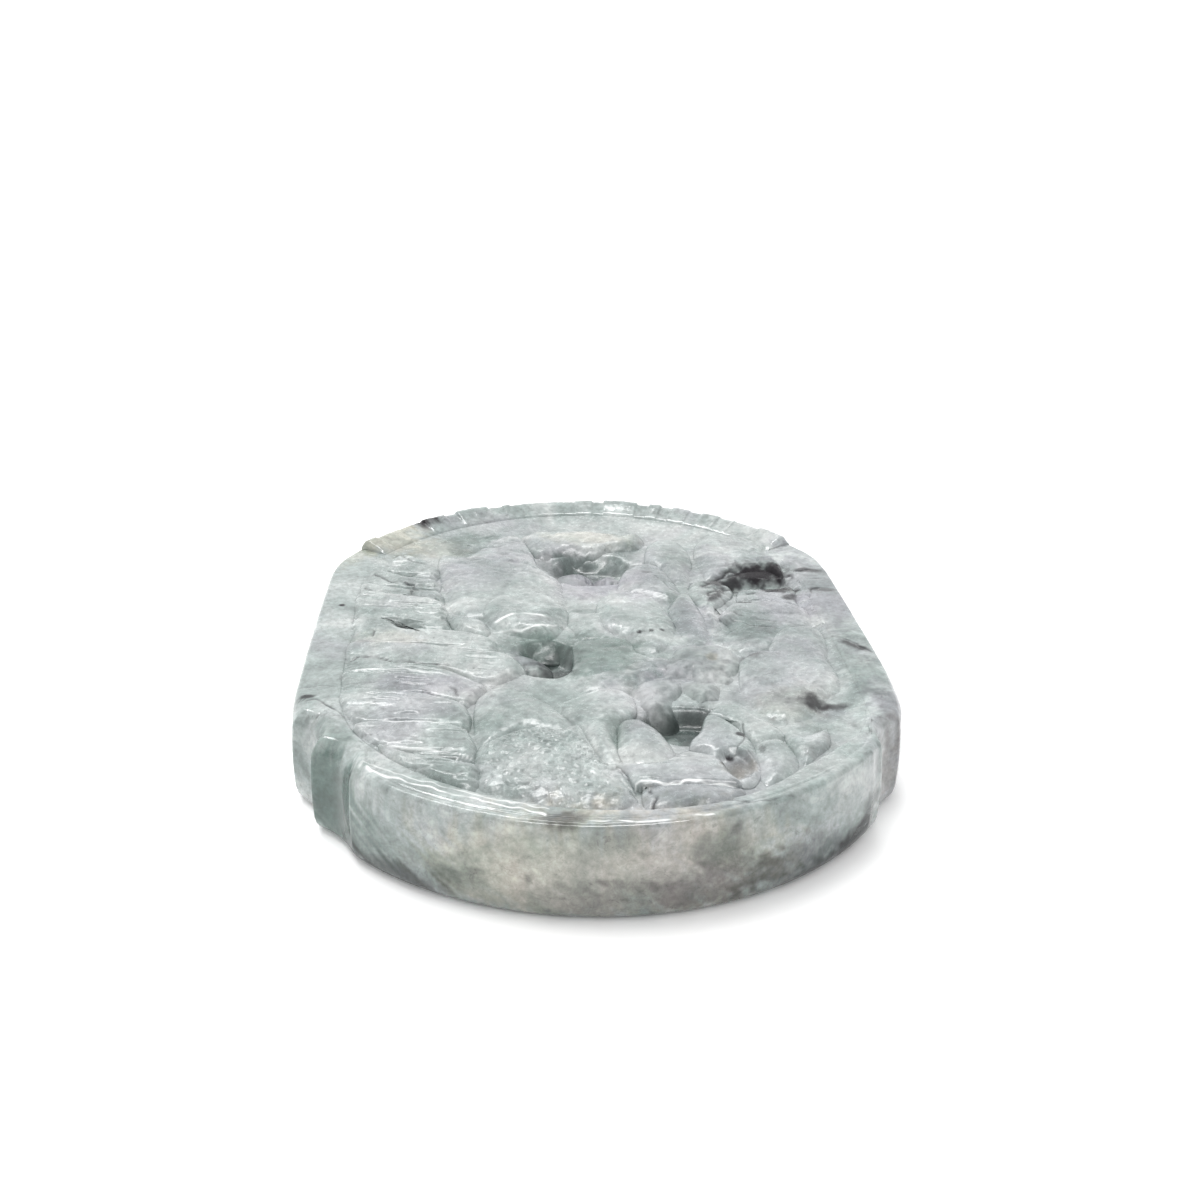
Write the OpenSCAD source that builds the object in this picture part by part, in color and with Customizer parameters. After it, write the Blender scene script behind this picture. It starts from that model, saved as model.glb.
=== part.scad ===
// Carved jade plaque, lying flat on its back.
// One stone in life: each node is one carved form of it, cut so that neighbours meet face to face.
// Frame: +X across the plaque, +Y towards its crested end, +Z up, origin at the middle of its underside.

/* [Plaque] */
// Reach of the stone to each side of its middle line, at half length
half_w = 22; // [20.8:0.1:22.6]
// Reach of the stone to its two ends, from its middle
half_l = 28.7; // [27.6:0.1:30]
// Radius of the arc at each end
end_r = 23.4; // [22.5:0.1:24.5]
// Height of the polished rim above the underside
rim_z = 7; // [6.2:0.1:9]
// Height of the carved field's floor above the underside
floor_z = 4.3; // [3:0.1:4.8]
// Width and height of the bevel round the rim's outer edge
rim_bevel = 0.3; // [0.1:0.05:0.5]
// Width and height of the bevel round the underside
foot_bevel = 0.6; // [0.2:0.1:1]

/* [Rim] */
// Width of the rim along the two long sides
side_rim_w = 3; // [2.4:0.1:3.4]
// Width of the rim at the plain end
plain_rim_w = 2; // [1.6:0.1:2.6]
// Width of the rim at the crested end
crest_rim_w = 2.4; // [1.8:0.1:3]
// Depth of the corner flutes
flute_depth = 0.8; // [0.3:0.1:1]
// Height of the tallest crest block above the rim
crest_rise = 1; // [0.4:0.1:1.4]

/* [Relief] */
// Height of the tallest carved form above the rim
relief_rise = 0.2; // [0:0.05:0.4]
// Radius of the crown along a plume
plume_crown = 5; // [4:0.5:9]
// Radius of the crown on a cloud
cloud_crown = 11; // [9:0.5:20]

/* [Hidden] */
// Radius of the bowed sides, and a width that spans the whole stone
SIDE_R = 500;
SPAN = 60;
// Facets round the plaque's own arcs, round a crown and round a flute, and spans between an outline's points
FINE = 360;
CROWN_FACETS = 96;
FLUTE_FACETS = 60;
CURVE_STEPS = 4;
// Middle of each end's arc from the middle of the stone, and how far the field's near arc is set over
END_Y = half_l - end_r;
FIELD_SHIFT = 1.2;
RELIEF_Z = rim_z + relief_rise;
// Corner flutes: which end, angle round that end's arc from +X, radius
FLUTES = [[-1, -153.7, 2.4], [-1, -36.8, 2.2], [1, 137.3, 1], [1, 42.7, 1]];
// Blocks along the crested end: start and end in X, and the share of the full rise
CREST_BLOCKS = [[-20.2, -18.6, 1], [-18.3, -17.6, 0.7], [-16.4, -15.6, 0.6], [-15.3, -12.4, 0.7],
    [-12.1, -8.2, 0.9], [-7.5, -5.9, 0.6], [-5.6, -0.4, 0.3], [-0.1, 2.6, 0.5], [2.9, 7.1, 0.9],
    [7.5, 9.5, 0.8], [9.8, 12.3, 0.7], [12.6, 15, 0.7], [15.4, 16.4, 0.5], [17.6, 20.2, 0.8]];
// Half the crest's spread in X, and the height it stands at between its blocks
CREST_REACH = 20.2;
CREST_STEP = 0.2;

JADE_PALE = "#c3cac5";
JADE_GREY = "#a9b3af";
JADE_GREEN = "#96a9a1";
JADE_LILAC = "#b5b2b8";
JADE_DARK = "#6d746f";

// Plan outlines of the carved forms, in millimetres, from far to near.
// Where two overlap, the later one is in front and takes the stone.
PLUMES = [
    [[-16.4, 14.8], [-15.2, 15.1], [-13, 13.4], [-12.2, 12], [-12.6, 9.8], [-15, 10.6], [-17.4, 12]],
    [[-17.8, 12], [-15.2, 10.6], [-12.4, 10], [-12.2, 7.4], [-15, 7.8], [-18.5, 9]],
    [[-18.6, 9.2], [-15, 7.9], [-12.2, 7.6], [-11.8, 5], [-15, 5.6], [-18.7, 6.6]],
    [[-18.7, 6.8], [-15, 6.2], [-12.2, 5.2], [-11.1, 2.6], [-10.6, -0.6], [-13, -0.4], [-15.5, 1.4], [-18.7, 1.5]],
    [[-18.7, 1.5], [-17.3, 1.9], [-16, 1.6], [-14.8, 0.2], [-12.5, -0.1], [-9.5, -0.5], [-7.6, -1.5],
        [-7.1, -2.8], [-7.4, -4.6], [-12, -3.8], [-18.6, -3]],
    [[-18.6, -2.7], [-15, -2.8], [-11.5, -3.5], [-7.4, -4.2], [-5.9, -5.2], [-5.3, -7.2], [-8, -9.2],
        [-12, -7.4], [-18.5, -7]],
    [[-18.5, -7.2], [-16, -6.5], [-12, -7.1], [-8.9, -8.8], [-8.1, -10.2], [-9.5, -12.8], [-12, -11.6],
        [-18.4, -10.8]],
    [[-18.4, -10.6], [-15, -10.6], [-12, -11.3], [-9.6, -12.5], [-9, -15.9], [-12, -15.6], [-17.4, -15]],
    [[-17, -15.4], [-13, -15.1], [-10, -15.9], [-8.8, -17.6], [-8.5, -20.2], [-10, -20.3], [-13, -19.6],
        [-15.6, -18]],
    [[-15.2, -18.2], [-13, -19.3], [-10, -20.1], [-8.4, -20.8], [-8.6, -23.6], [-11, -22.7], [-13.5, -20.9]],
];
CLOUDS = [
    [[6.1, 16.4], [6.8, 18], [8.4, 18.7], [9.5, 17.6], [10, 15.4], [10, 12], [9.5, 8], [7.8, 8.4],
        [6.4, 12.2], [5.8, 13.8]],
    [[2.8, 8], [3.3, 10.4], [4.3, 12.2], [6, 13], [7, 12], [8, 9.4], [8.6, 6.4], [7.2, 4.8], [4.4, 5.8],
        [2.8, 6.4]],
    [[0.7, 3.4], [1.2, 5.6], [2.4, 6.5], [4, 6.7], [5.8, 5.2], [6.4, 3.4], [7, 0.6], [6.9, -2.2],
        [5.8, -4.8], [4.2, -5], [2.9, -3.2], [2.4, -1.4], [1, 0.2]],
    [[10.2, 12.4], [10.5, 16], [11.3, 18.4], [13, 19.5], [15.4, 19.6], [16.6, 18], [17.6, 15.4],
        [17.9, 12], [17.4, 10.4], [14.8, 10.6], [12, 9.6], [10.2, 9.8]],
    [[10.7, 2.2], [12.2, 4.4], [13.4, 4.9], [16, 4.5], [17.8, 3.6], [18.4, 1.8], [18.2, -1], [18, -5],
        [14.6, -5], [11, -4.8], [9.8, -2], [11.2, 0.2]],
    [[14.4, -4.7], [17.4, -4.8], [17.8, -7], [17.4, -10.6], [16.4, -13], [15.4, -15.4], [13.6, -16.6],
        [11.4, -15.8], [10.3, -13.8], [10.2, -11], [10.6, -8.2], [11, -6.4], [12.4, -4.9]],
    [[12.2, -17.2], [13.4, -17.6], [14.6, -17], [15.3, -16.6], [15.2, -18.4], [14.4, -20], [13.4, -21.4],
        [12.2, -22.4], [12.2, -20.6]],
    [[10, -18.6], [11.2, -18], [12, -18.4], [12.5, -20.4], [12.4, -22.6], [11.4, -23.8], [9.6, -24.4],
        [9, -23], [9.4, -20.6]],
];
ROCKS = [
    [[6.8, -3.4], [9.8, -3.2], [11, -4.8], [11.2, -6.6], [10.4, -9.4], [8.8, -9.9], [6.4, -9.2],
        [4.6, -8.8], [4.8, -6.4], [6, -4.8]],
    [[2.4, -10], [4.4, -8.5], [6.1, -9.2], [5.9, -12.6], [5.2, -14.2], [3.6, -14.4], [2.4, -13.8],
        [2, -12]],
    [[6.1, -9.2], [8.7, -9.7], [9.3, -11.8], [9, -12.9], [8.2, -12.8], [6.6, -13.2], [6, -11.5]],
    [[-7.4, -3.8], [-6, -3], [-4.6, -3.6], [-3.4, -4.8], [-3.2, -6], [-4.4, -6.8], [-6, -6.2], [-7, -5.2]],
];
STALKS = [
    [[-2.4, 12.4], [-1.2, 13.8], [0.4, 13.8], [1.1, 12], [0.8, 9.4], [0.4, 7], [-1, 6.6], [-1.6, 9.5]],
    [[1, 11.4], [1.9, 13], [3.2, 12.8], [3.8, 11], [2.9, 8.6], [2, 7], [1, 7.4]],
];
LEAVES = [
    [[-11.5, 2.7], [-10, 2.5], [-8.4, 1.7], [-7.8, 0], [-8.2, -1.1], [-10, -0.6], [-11, 1]],
    [[-2.4, -12], [0.4, -10.4], [2.2, -11.4], [2.4, -14], [1.2, -15.6], [0.8, -17.4], [1, -20.6],
        [-0.4, -20.4], [-1.6, -17.4], [-3.4, -13.4]],
    [[1, -15.3], [2.3, -14.8], [3.4, -16], [4.1, -17.6], [4.4, -19.6], [3.4, -21.2], [1.6, -21.4],
        [0.7, -19.4], [0.8, -17.2]],
];
FAR_BANK = [[-15.2, 18], [-14.8, 20.6], [-12.8, 22.6], [-9.6, 24.4], [-6.4, 25.2], [-4.6, 23.6], [-5.2, 20.4],
    [-8.4, 16.6], [-10.2, 15.2], [-12.6, 15.4]];
CORNER_BOSS = [[-19.6, 10.8], [-19.8, 16], [-18, 20.6], [-15.4, 22.6], [-14.4, 20.8], [-14.9, 18],
    [-15.9, 16], [-17, 13.8], [-18, 12]];
CRAG = [[-5.4, 19.6], [-3.6, 21.2], [-1, 21.4], [2, 20.8], [5.6, 20.4], [6.4, 18.8], [5.6, 17.2],
    [3.4, 16.6], [1.4, 15.6], [-1.2, 15.8], [-3.4, 15], [-5, 16.4]];
NECK = [[-12.5, 15.6], [-10.2, 15.2], [-8.4, 18], [-6.3, 20.2], [-5, 19.2], [-4.2, 16], [-3.6, 13],
    [-2.1, 11], [-1.2, 8], [-0.8, 4], [-2, 2.4], [-5, 4], [-8, 1.4], [-11.4, 2.4], [-12.1, 6],
    [-12.4, 10]];
BREAST = [[-8.6, 2.6], [-7.9, 5.4], [-5.5, 6.5], [-3.2, 6], [-1.8, 4], [-1.3, 1], [-1.5, -1.6],
    [-2.6, -2.8], [-5, -2.6], [-7.2, -1.6], [-8.3, 0.2]];
BRIDGE = [[-1.6, 3.4], [-0.2, 3.2], [1.2, 3], [1.6, 0.6], [3, -1], [2, -2.2], [-1.2, -2.2], [-1.7, 0.6]];
FLANK = [[-1.2, -1.9], [2.6, -1.7], [3.6, -4.4], [5.8, -5.4], [5.6, -8], [3.4, -9.6], [2.2, -11],
    [-0.4, -11], [-2, -9.4], [-1.6, -5.5]];
RIBBON = [[7.2, 5.4], [8.7, 7.2], [9.5, 3], [9.9, 0.4], [9.8, -2.6], [8.6, -3.8], [6.8, -3.4], [6.6, 3]];
SIDE_PANEL = [[9.6, 9.6], [11.8, 9.6], [12.8, 7.6], [12, 5.4], [10.8, 3.4], [11, 0.8], [11.8, -0.6],
    [10, -1.4], [9.7, 1], [9.4, 3.8], [8.8, 7]];
KNOB = [[15.6, 13.4], [16.2, 14.7], [17.2, 14.4], [17.9, 12.8], [18.1, 10.6], [17.7, 9.2], [16.9, 10.4],
    [15.9, 12]];
LEDGE = [[12.9, 6.6], [13.6, 7.5], [16.4, 7.6], [17.9, 7.9], [18.2, 5.2], [17.8, 3.2], [13.6, 4.6],
    [12.6, 5]];
SHOULDER = [[-8, -10.4], [-6.6, -10], [-4.8, -11.4], [-3.2, -13.2], [-1.6, -15.4], [-2.4, -17.4],
    [-5.4, -17], [-7.2, -18], [-8.8, -18], [-9, -15], [-8.9, -12]];
COIL = [[-8.6, -18.4], [-7, -17], [-5.2, -16], [-3.2, -16.4], [-1.8, -15.8], [-1.2, -18], [-0.4, -20.2],
    [1, -21.2], [1.6, -23.4], [1.9, -25.6], [0, -26.5], [-2.4, -26.4], [-4.6, -25.7], [-7, -24.4],
    [-8.6, -23.4], [-8.8, -21]];
TAIL_FAN = [[0.4, -20.8], [2.6, -21.1], [4.4, -19.9], [5.4, -19.4], [7.2, -20.4], [7.6, -22.4],
    [8, -23.9], [5, -23.7], [1.7, -23.8], [1, -22]];
TAIL_ROOT = [[2, -23.6], [5, -23.4], [7.9, -23.8], [8, -25], [5.2, -26], [2.1, -26.4]];
RIDGE = [[7.2, -14.8], [8.2, -13.4], [9.6, -13.3], [10.6, -14.8], [12, -16.4], [12.2, -17.6],
    [11.4, -18.6], [10, -19.6], [9.2, -17], [8.2, -15.4]];
CURL = [[7.1, -15], [8.1, -15.2], [9.2, -17], [9.9, -19.4], [9.8, -21.6], [9, -23.6], [7.8, -23.4],
    [7.2, -21.6], [6.4, -20], [5.5, -19.2], [5.6, -18.2], [6.4, -17]];
NEAR_BANK = [[7.6, -24.4], [10, -24], [12.4, -22.8], [13.8, -21.2], [15.1, -19.2], [16.4, -17], [17.4, -15.4],
    [20, -15], [18, -21], [13, -26], [8, -27.4]];

// Each form: its node's name, its outline, how far its top lies below the tallest form's, and its crown's radius.
// They stand in carving order: a later form is in front of an earlier one.
FORMS = concat(
    [["far_bank", FAR_BANK, 0.5, 24], ["corner_boss", CORNER_BOSS, 0.3, 24]],
    [for (i = [0 : len(PLUMES) - 1]) [str("plume_", i + 1), PLUMES[i], 0.2, plume_crown]],
    [["crag", CRAG, 0, cloud_crown], ["neck", NECK, 0, 17], ["breast", BREAST, 0, 7]],
    [for (i = [0 : len(STALKS) - 1]) [str("stalk_", i + 1), STALKS[i], 0.9, 6]],
    [["bridge", BRIDGE, 0.6, 8], ["flank", FLANK, 0.4, 16], ["ribbon", RIBBON, 0.5, 12]],
    [["side_panel", SIDE_PANEL, 0.5, 16]],
    [for (i = [0 : len(ROCKS) - 1]) [str("rock_", i + 1), ROCKS[i], i < 3 ? 0.4 : 0.9, 9]],
    [for (i = [0 : len(CLOUDS) - 1]) [str("cloud_", i + 1), CLOUDS[i], 0, cloud_crown]],
    [["knob", KNOB, 0, 6], ["ledge", LEDGE, 0.4, 12]],
    [for (i = [0 : len(LEAVES) - 1]) [str("leaf_", i + 1), LEAVES[i], 0.2, 9]],
    [["shoulder", SHOULDER, 0, 12], ["coil", COIL, 0, 12], ["tail_root", TAIL_ROOT, 0.5, 8]],
    [["tail_fan", TAIL_FAN, 0, 12], ["ridge", RIDGE, 0.2, 12], ["curl", CURL, 0, 10]],
    [["near_bank", NEAR_BANK, 0.3, 24]]
);
// How far the plumes' rollers turn from X: the far plumes, and the rest
FAR_PLUMES = 3;
FAR_PLUME_TURN = -12;
PLUME_TURN = -6;

// Point of a Catmull-Rom span from b to c at t, and the closed curve through a list of points
function spline(a, b, c, d, t) =
    0.5 * (2 * b + (c - a) * t + (2 * a - 5 * b + 4 * c - d) * t * t + (3 * b - a - 3 * c + d) * t * t * t);
function closed_curve(points) = let (n = len(points)) [
    for (i = [0 : n - 1], k = [0 : CURVE_STEPS - 1])
        spline(points[(i + n - 1) % n], points[i], points[(i + 1) % n], points[(i + 2) % n], k / CURVE_STEPS)
];

// Mean of a list of points, and whether the boxes round two lists overlap
function total(points, i = 0) = i == len(points) ? [0, 0] : points[i] + total(points, i + 1);
function middle(points) = total(points) / len(points);
function column(points, k) = [for (p = points) p[k]];
function boxes_meet(a, b) =
    min(column(a, 0)) < max(column(b, 0)) + 1 && min(column(b, 0)) < max(column(a, 0)) + 1
    && min(column(a, 1)) < max(column(b, 1)) + 1 && min(column(b, 1)) < max(column(a, 1)) + 1;
function index_of(name) = search([name], FORMS, 1, 0)[0];

// A disc with a bevel round its underside and a smaller one round its top
module coin(r) rotate_extrude($fn = FINE) polygon([
    [0, 0], [r - foot_bevel, 0], [r, foot_bevel], [r, rim_z - rim_bevel], [r - rim_bevel, rim_z], [0, rim_z]]);

module blank() intersection() {
    union() {
        translate([0, -END_Y, 0]) coin(end_r);
        translate([0, END_Y, 0]) coin(end_r);
        translate([-SPAN / 2, -END_Y, 0]) cube([SPAN, 2 * END_Y, rim_z]);
    }
    translate([SIDE_R - half_w, 0, 0]) coin(SIDE_R);
    translate([half_w - SIDE_R, 0, 0]) coin(SIDE_R);
}

module field_plan() intersection() {
    union() {
        translate([FIELD_SHIFT, -END_Y]) circle(r = end_r - plain_rim_w, $fn = FINE);
        translate([0, END_Y]) circle(r = end_r - crest_rim_w, $fn = FINE);
        translate([-SPAN / 2, -END_Y]) square([SPAN, 2 * END_Y]);
    }
    translate([SIDE_R - half_w, 0]) circle(r = SIDE_R - side_rim_w, $fn = FINE);
    translate([half_w - SIDE_R, 0]) circle(r = SIDE_R - side_rim_w, $fn = FINE);
}

// What is left of a form's outline inside the field, behind the forms in front of it
module carved_plan(i) {
    own = FORMS[i][1];
    difference() {
        intersection() {
            polygon(closed_curve(own));
            field_plan();
        }
        if (i < len(FORMS) - 1)
            for (j = [i + 1 : len(FORMS) - 1])
                if (boxes_meet(own, FORMS[j][1])) polygon(closed_curve(FORMS[j][1]));
    }
}

// What stands of a form between the field's floor and its own top, before it is crowned
module stem(i) translate([0, 0, floor_z]) linear_extrude(RELIEF_Z - FORMS[i][2] - floor_z) carved_plan(i);

// The top of a form's crown, over the middle of its outline
module at_crown(i) {
    at = middle(FORMS[i][1]);
    translate([at[0], at[1], RELIEF_Z - FORMS[i][2] - FORMS[i][3]]) children();
}

// A form under a ball of its crown's radius
module mound(name) {
    i = index_of(name);
    intersection() {
        stem(i);
        at_crown(i) sphere(r = FORMS[i][3], $fn = CROWN_FACETS);
    }
}

// A form under a roller of its crown's radius that lies along it
module bar(name, turn) {
    i = index_of(name);
    intersection() {
        stem(i);
        at_crown(i) rotate([0, 90, turn]) cylinder(r = FORMS[i][3], h = SPAN, center = true, $fn = CROWN_FACETS);
    }
}

// An upright hollow worn into the edge, let in by the flute's depth
module corner_flute(end, turn, r)
    translate([0, end * END_Y, foot_bevel]) rotate([0, 0, turn]) translate([end_r + r - flute_depth, 0, 0])
        cylinder(r = r, h = rim_z + crest_rise, $fn = FLUTE_FACETS);

module plaque_body() color(JADE_GREY) difference() {
    blank();
    translate([0, 0, floor_z]) linear_extrude(rim_z) field_plan();
    for (f = FLUTES) corner_flute(f[0], f[1], f[2]);
}

// The top of the rim at the crested end, between its bevel and the field
module crest_plan() intersection() {
    difference() {
        translate([0, END_Y]) circle(r = end_r - rim_bevel, $fn = FINE);
        translate([0, END_Y]) circle(r = end_r - crest_rim_w, $fn = FINE);
    }
    translate([-CREST_REACH, END_Y]) square([2 * CREST_REACH, end_r]);
}

module crest() color(JADE_PALE) difference() {
    translate([0, 0, rim_z]) union() {
        linear_extrude(CREST_STEP) crest_plan();
        for (b = CREST_BLOCKS) linear_extrude(CREST_STEP + (crest_rise - CREST_STEP) * b[2]) intersection() {
            crest_plan();
            translate([b[0], END_Y]) square([b[1] - b[0], end_r]);
        }
    }
    for (f = FLUTES) corner_flute(f[0], f[1], f[2]);
}

module far_bank() color(JADE_GREEN) mound("far_bank");
module corner_boss() color(JADE_PALE) mound("corner_boss");
module plume(i) color(i % 2 ? JADE_PALE : JADE_LILAC)
    bar(str("plume_", i + 1), i < FAR_PLUMES ? FAR_PLUME_TURN : PLUME_TURN);
module crag() color(JADE_PALE) mound("crag");
module neck() color(JADE_LILAC) mound("neck");
module breast() color(JADE_GREEN) mound("breast");
module stalk(i) color(JADE_LILAC) mound(str("stalk_", i + 1));
module bridge() color(JADE_GREEN) mound("bridge");
module flank() color(JADE_GREEN) mound("flank");
module ribbon() color(JADE_LILAC) mound("ribbon");
module side_panel() color(JADE_GREY) mound("side_panel");
module rock(i) color(JADE_DARK) mound(str("rock_", i + 1));
module cloud(i) color(JADE_PALE) mound(str("cloud_", i + 1));
module knob() color(JADE_DARK) mound("knob");
module ledge() color(JADE_GREEN) mound("ledge");
module leaf(i) color(JADE_GREEN) mound(str("leaf_", i + 1));
module shoulder() color(JADE_GREEN) mound("shoulder");
module coil() color(JADE_GREY) mound("coil");
module tail_root() color(JADE_GREEN) mound("tail_root");
module tail_fan() color(JADE_PALE) mound("tail_fan");
module ridge() color(JADE_PALE) mound("ridge");
module curl() color(JADE_PALE) mound("curl");
module near_bank() color(JADE_PALE) mound("near_bank");

plaque_body();
crest();
far_bank();
corner_boss();
for (i = [0 : len(PLUMES) - 1]) plume(i);
crag();
neck();
breast();
for (i = [0 : len(STALKS) - 1]) stalk(i);
bridge();
flank();
ribbon();
side_panel();
for (i = [0 : len(ROCKS) - 1]) rock(i);
for (i = [0 : len(CLOUDS) - 1]) cloud(i);
knob();
ledge();
for (i = [0 : len(LEAVES) - 1]) leaf(i);
shoulder();
coil();
tail_root();
tail_fan();
ridge();
curl();
near_bank();
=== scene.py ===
"""A carved jade plaque on a pale floor: polished slab, low crest, and one piece for each form of the relief."""

import math

import bpy
import numpy as np
from mathutils import Matrix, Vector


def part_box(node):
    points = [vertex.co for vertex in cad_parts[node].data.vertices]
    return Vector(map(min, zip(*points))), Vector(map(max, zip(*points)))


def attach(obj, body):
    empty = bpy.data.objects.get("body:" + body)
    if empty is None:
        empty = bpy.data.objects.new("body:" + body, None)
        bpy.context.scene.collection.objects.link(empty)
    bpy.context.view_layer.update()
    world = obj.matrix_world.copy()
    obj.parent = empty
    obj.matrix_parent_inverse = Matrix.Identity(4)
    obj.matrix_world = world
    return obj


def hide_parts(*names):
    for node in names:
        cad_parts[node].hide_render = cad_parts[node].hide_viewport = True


MM = 0.001
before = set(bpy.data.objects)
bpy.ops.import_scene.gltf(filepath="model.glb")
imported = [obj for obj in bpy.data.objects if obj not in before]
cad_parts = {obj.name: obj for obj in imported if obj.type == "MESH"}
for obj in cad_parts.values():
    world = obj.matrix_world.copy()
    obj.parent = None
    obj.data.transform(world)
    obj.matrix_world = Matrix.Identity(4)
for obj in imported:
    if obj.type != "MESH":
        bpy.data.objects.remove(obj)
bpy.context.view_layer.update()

# ---------------------------------------------------------------- sizes, in millimetres, from the frame

SLAB_HIGH = np.array(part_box("plaque_body")[1]) / MM
# Half the outline's width and length: its arcs and bows leave it a touch wider and shorter than the solid's
HALF_W = SLAB_HIGH[0] + 0.1
HALF_L = SLAB_HIGH[1] - 0.05
RIM_Z = SLAB_HIGH[2]
FLOOR_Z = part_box("coil")[0][2] / MM
# Radius of each end's arc, its middle's distance from the stone's, and the radius of the bowed sides
END_R = 23.4
END_Y = HALF_L - END_R
SIDE_R = 500
# Widths of the rim, how far the near arc of the field is set over, and the rounding of their corners
RIM_SIDE, RIM_PLAIN, RIM_CREST = 3.0, 2.0, 2.4
FIELD_SHIFT = 1.2
OUTER_CORNER, FIELD_CORNER = 0.9, 2.5
# Foot of the forms, under the field's floor; the ground between them; the spacing of their nets, and how
# much these are packed towards a form's edge
FOOT_Z = FLOOR_Z - 0.4
GROUND_Z = RIM_Z - 0.62
MESH_STEP = 0.11
EDGE_BUNCH = 1.35

# Upright bites out of the slab's edge: an angle round the plaque's middle, the start and end along the edge
# from there, and the depth. Two bites that meet leave a sharp upright ridge.
BITES = [(-138.5, -4.2, 0, 1.3), (-138.5, 0, 4.8, 1.0), (-46, 0, 4.2, 0.9), (-46, -1.4, 0, 0.1),
         (129.3, -0.9, 0.4, 0.5), (51.2, -0.4, 0.9, 0.5)]

# Lumps along the crested end: start and end in X, and the share of the full rise
CREST_BLOCKS = [(-20.2, -18.6, 1), (-18.3, -17.6, 0.7), (-16.4, -15.6, 0.6), (-15.3, -12.4, 0.7),
                (-12.1, -8.2, 0.9), (-7.5, -5.9, 0.6), (-5.6, -0.4, 0.3), (-0.1, 2.6, 0.5), (2.9, 7.1, 0.9),
                (7.5, 9.5, 0.8), (9.8, 12.3, 0.7), (12.6, 15, 0.7), (15.4, 16.4, 0.5), (17.6, 20.2, 0.8)]
# The crest's own start and end in X, either side of the middle
CREST_REACH = 20.0
# Section across the crest: distance in from the end arc, and share of the rise or, below the rim, millimetres
CREST_SECTION = np.array([(0.62, -0.6), (0.42, -0.2), (0.45, 0.4), (0.6, 0.8), (0.85, 1.0), (1.2, 0.95),
                          (1.6, 0.75), (2.1, 0.5), (2.6, 0.25), (3.1, 0.05), (3.3, -0.3)])

# Plan outlines of the carved forms, the same as the solids', each a smooth closed curve through its points
PLUMES = [
    [(-16.4, 14.8), (-15.2, 15.1), (-13, 13.4), (-12.2, 12), (-12.6, 9.8), (-15, 10.6), (-17.4, 12)],
    [(-17.8, 12), (-15.2, 10.6), (-12.4, 10), (-12.2, 7.4), (-15, 7.8), (-18.5, 9)],
    [(-18.6, 9.2), (-15, 7.9), (-12.2, 7.6), (-11.8, 5), (-15, 5.6), (-18.7, 6.6)],
    [(-18.7, 6.8), (-15, 6.2), (-12.2, 5.2), (-11.1, 2.6), (-10.6, -0.6), (-13, -0.4), (-15.5, 1.4),
     (-18.7, 1.5)],
    [(-18.7, 1.5), (-17.3, 1.9), (-16, 1.6), (-14.8, 0.2), (-12.5, -0.1), (-9.5, -0.5), (-7.6, -1.5),
     (-7.1, -2.8), (-7.4, -4.6), (-12, -3.8), (-18.6, -3)],
    [(-18.6, -2.7), (-15, -2.8), (-11.5, -3.5), (-7.4, -4.2), (-5.9, -5.2), (-5.3, -7.2), (-8, -9.2),
     (-12, -7.4), (-18.5, -7)],
    [(-18.5, -7.2), (-16, -6.5), (-12, -7.1), (-8.9, -8.8), (-8.1, -10.2), (-9.5, -12.8), (-12, -11.6),
     (-18.4, -10.8)],
    [(-18.4, -10.6), (-15, -10.6), (-12, -11.3), (-9.6, -12.5), (-9, -15.9), (-12, -15.6), (-17.4, -15)],
    [(-17, -15.4), (-13, -15.1), (-10, -15.9), (-8.8, -17.6), (-8.5, -20.2), (-10, -20.3), (-13, -19.6),
     (-15.6, -18)],
    [(-15.2, -18.2), (-13, -19.3), (-10, -20.1), (-8.4, -20.8), (-8.6, -23.6), (-11, -22.7), (-13.5, -20.9)],
]
CLOUDS = [
    [(6.1, 16.4), (6.8, 18), (8.4, 18.7), (9.5, 17.6), (10, 15.4), (10, 12), (9.5, 8), (7.8, 8.4),
     (6.4, 12.2), (5.8, 13.8)],
    [(2.8, 8), (3.3, 10.4), (4.3, 12.2), (6, 13), (7, 12), (8, 9.4), (8.6, 6.4), (7.2, 4.8), (4.4, 5.8),
     (2.8, 6.4)],
    [(0.7, 3.4), (1.2, 5.6), (2.4, 6.5), (4, 6.7), (5.8, 5.2), (6.4, 3.4), (7, 0.6), (6.9, -2.2),
     (5.8, -4.8), (4.2, -5), (2.9, -3.2), (2.4, -1.4), (1, 0.2)],
    [(10.2, 12.4), (10.5, 16), (11.3, 18.4), (13, 19.5), (15.4, 19.6), (16.6, 18), (17.6, 15.4),
     (17.9, 12), (17.4, 10.4), (14.8, 10.6), (12, 9.6), (10.2, 9.8)],
    [(10.7, 2.2), (12.2, 4.4), (13.4, 4.9), (16, 4.5), (17.8, 3.6), (18.4, 1.8), (18.2, -1), (18, -5),
     (14.6, -5), (11, -4.8), (9.8, -2), (11.2, 0.2)],
    [(14.4, -4.7), (17.4, -4.8), (17.8, -7), (17.4, -10.6), (16.4, -13), (15.4, -15.4), (13.6, -16.6),
     (11.4, -15.8), (10.3, -13.8), (10.2, -11), (10.6, -8.2), (11, -6.4), (12.4, -4.9)],
    [(12.2, -17.2), (13.4, -17.6), (14.6, -17), (15.3, -16.6), (15.2, -18.4), (14.4, -20), (13.4, -21.4),
     (12.2, -22.4), (12.2, -20.6)],
    [(10, -18.6), (11.2, -18), (12, -18.4), (12.5, -20.4), (12.4, -22.6), (11.4, -23.8), (9.6, -24.4),
     (9, -23), (9.4, -20.6)],
]
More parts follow.
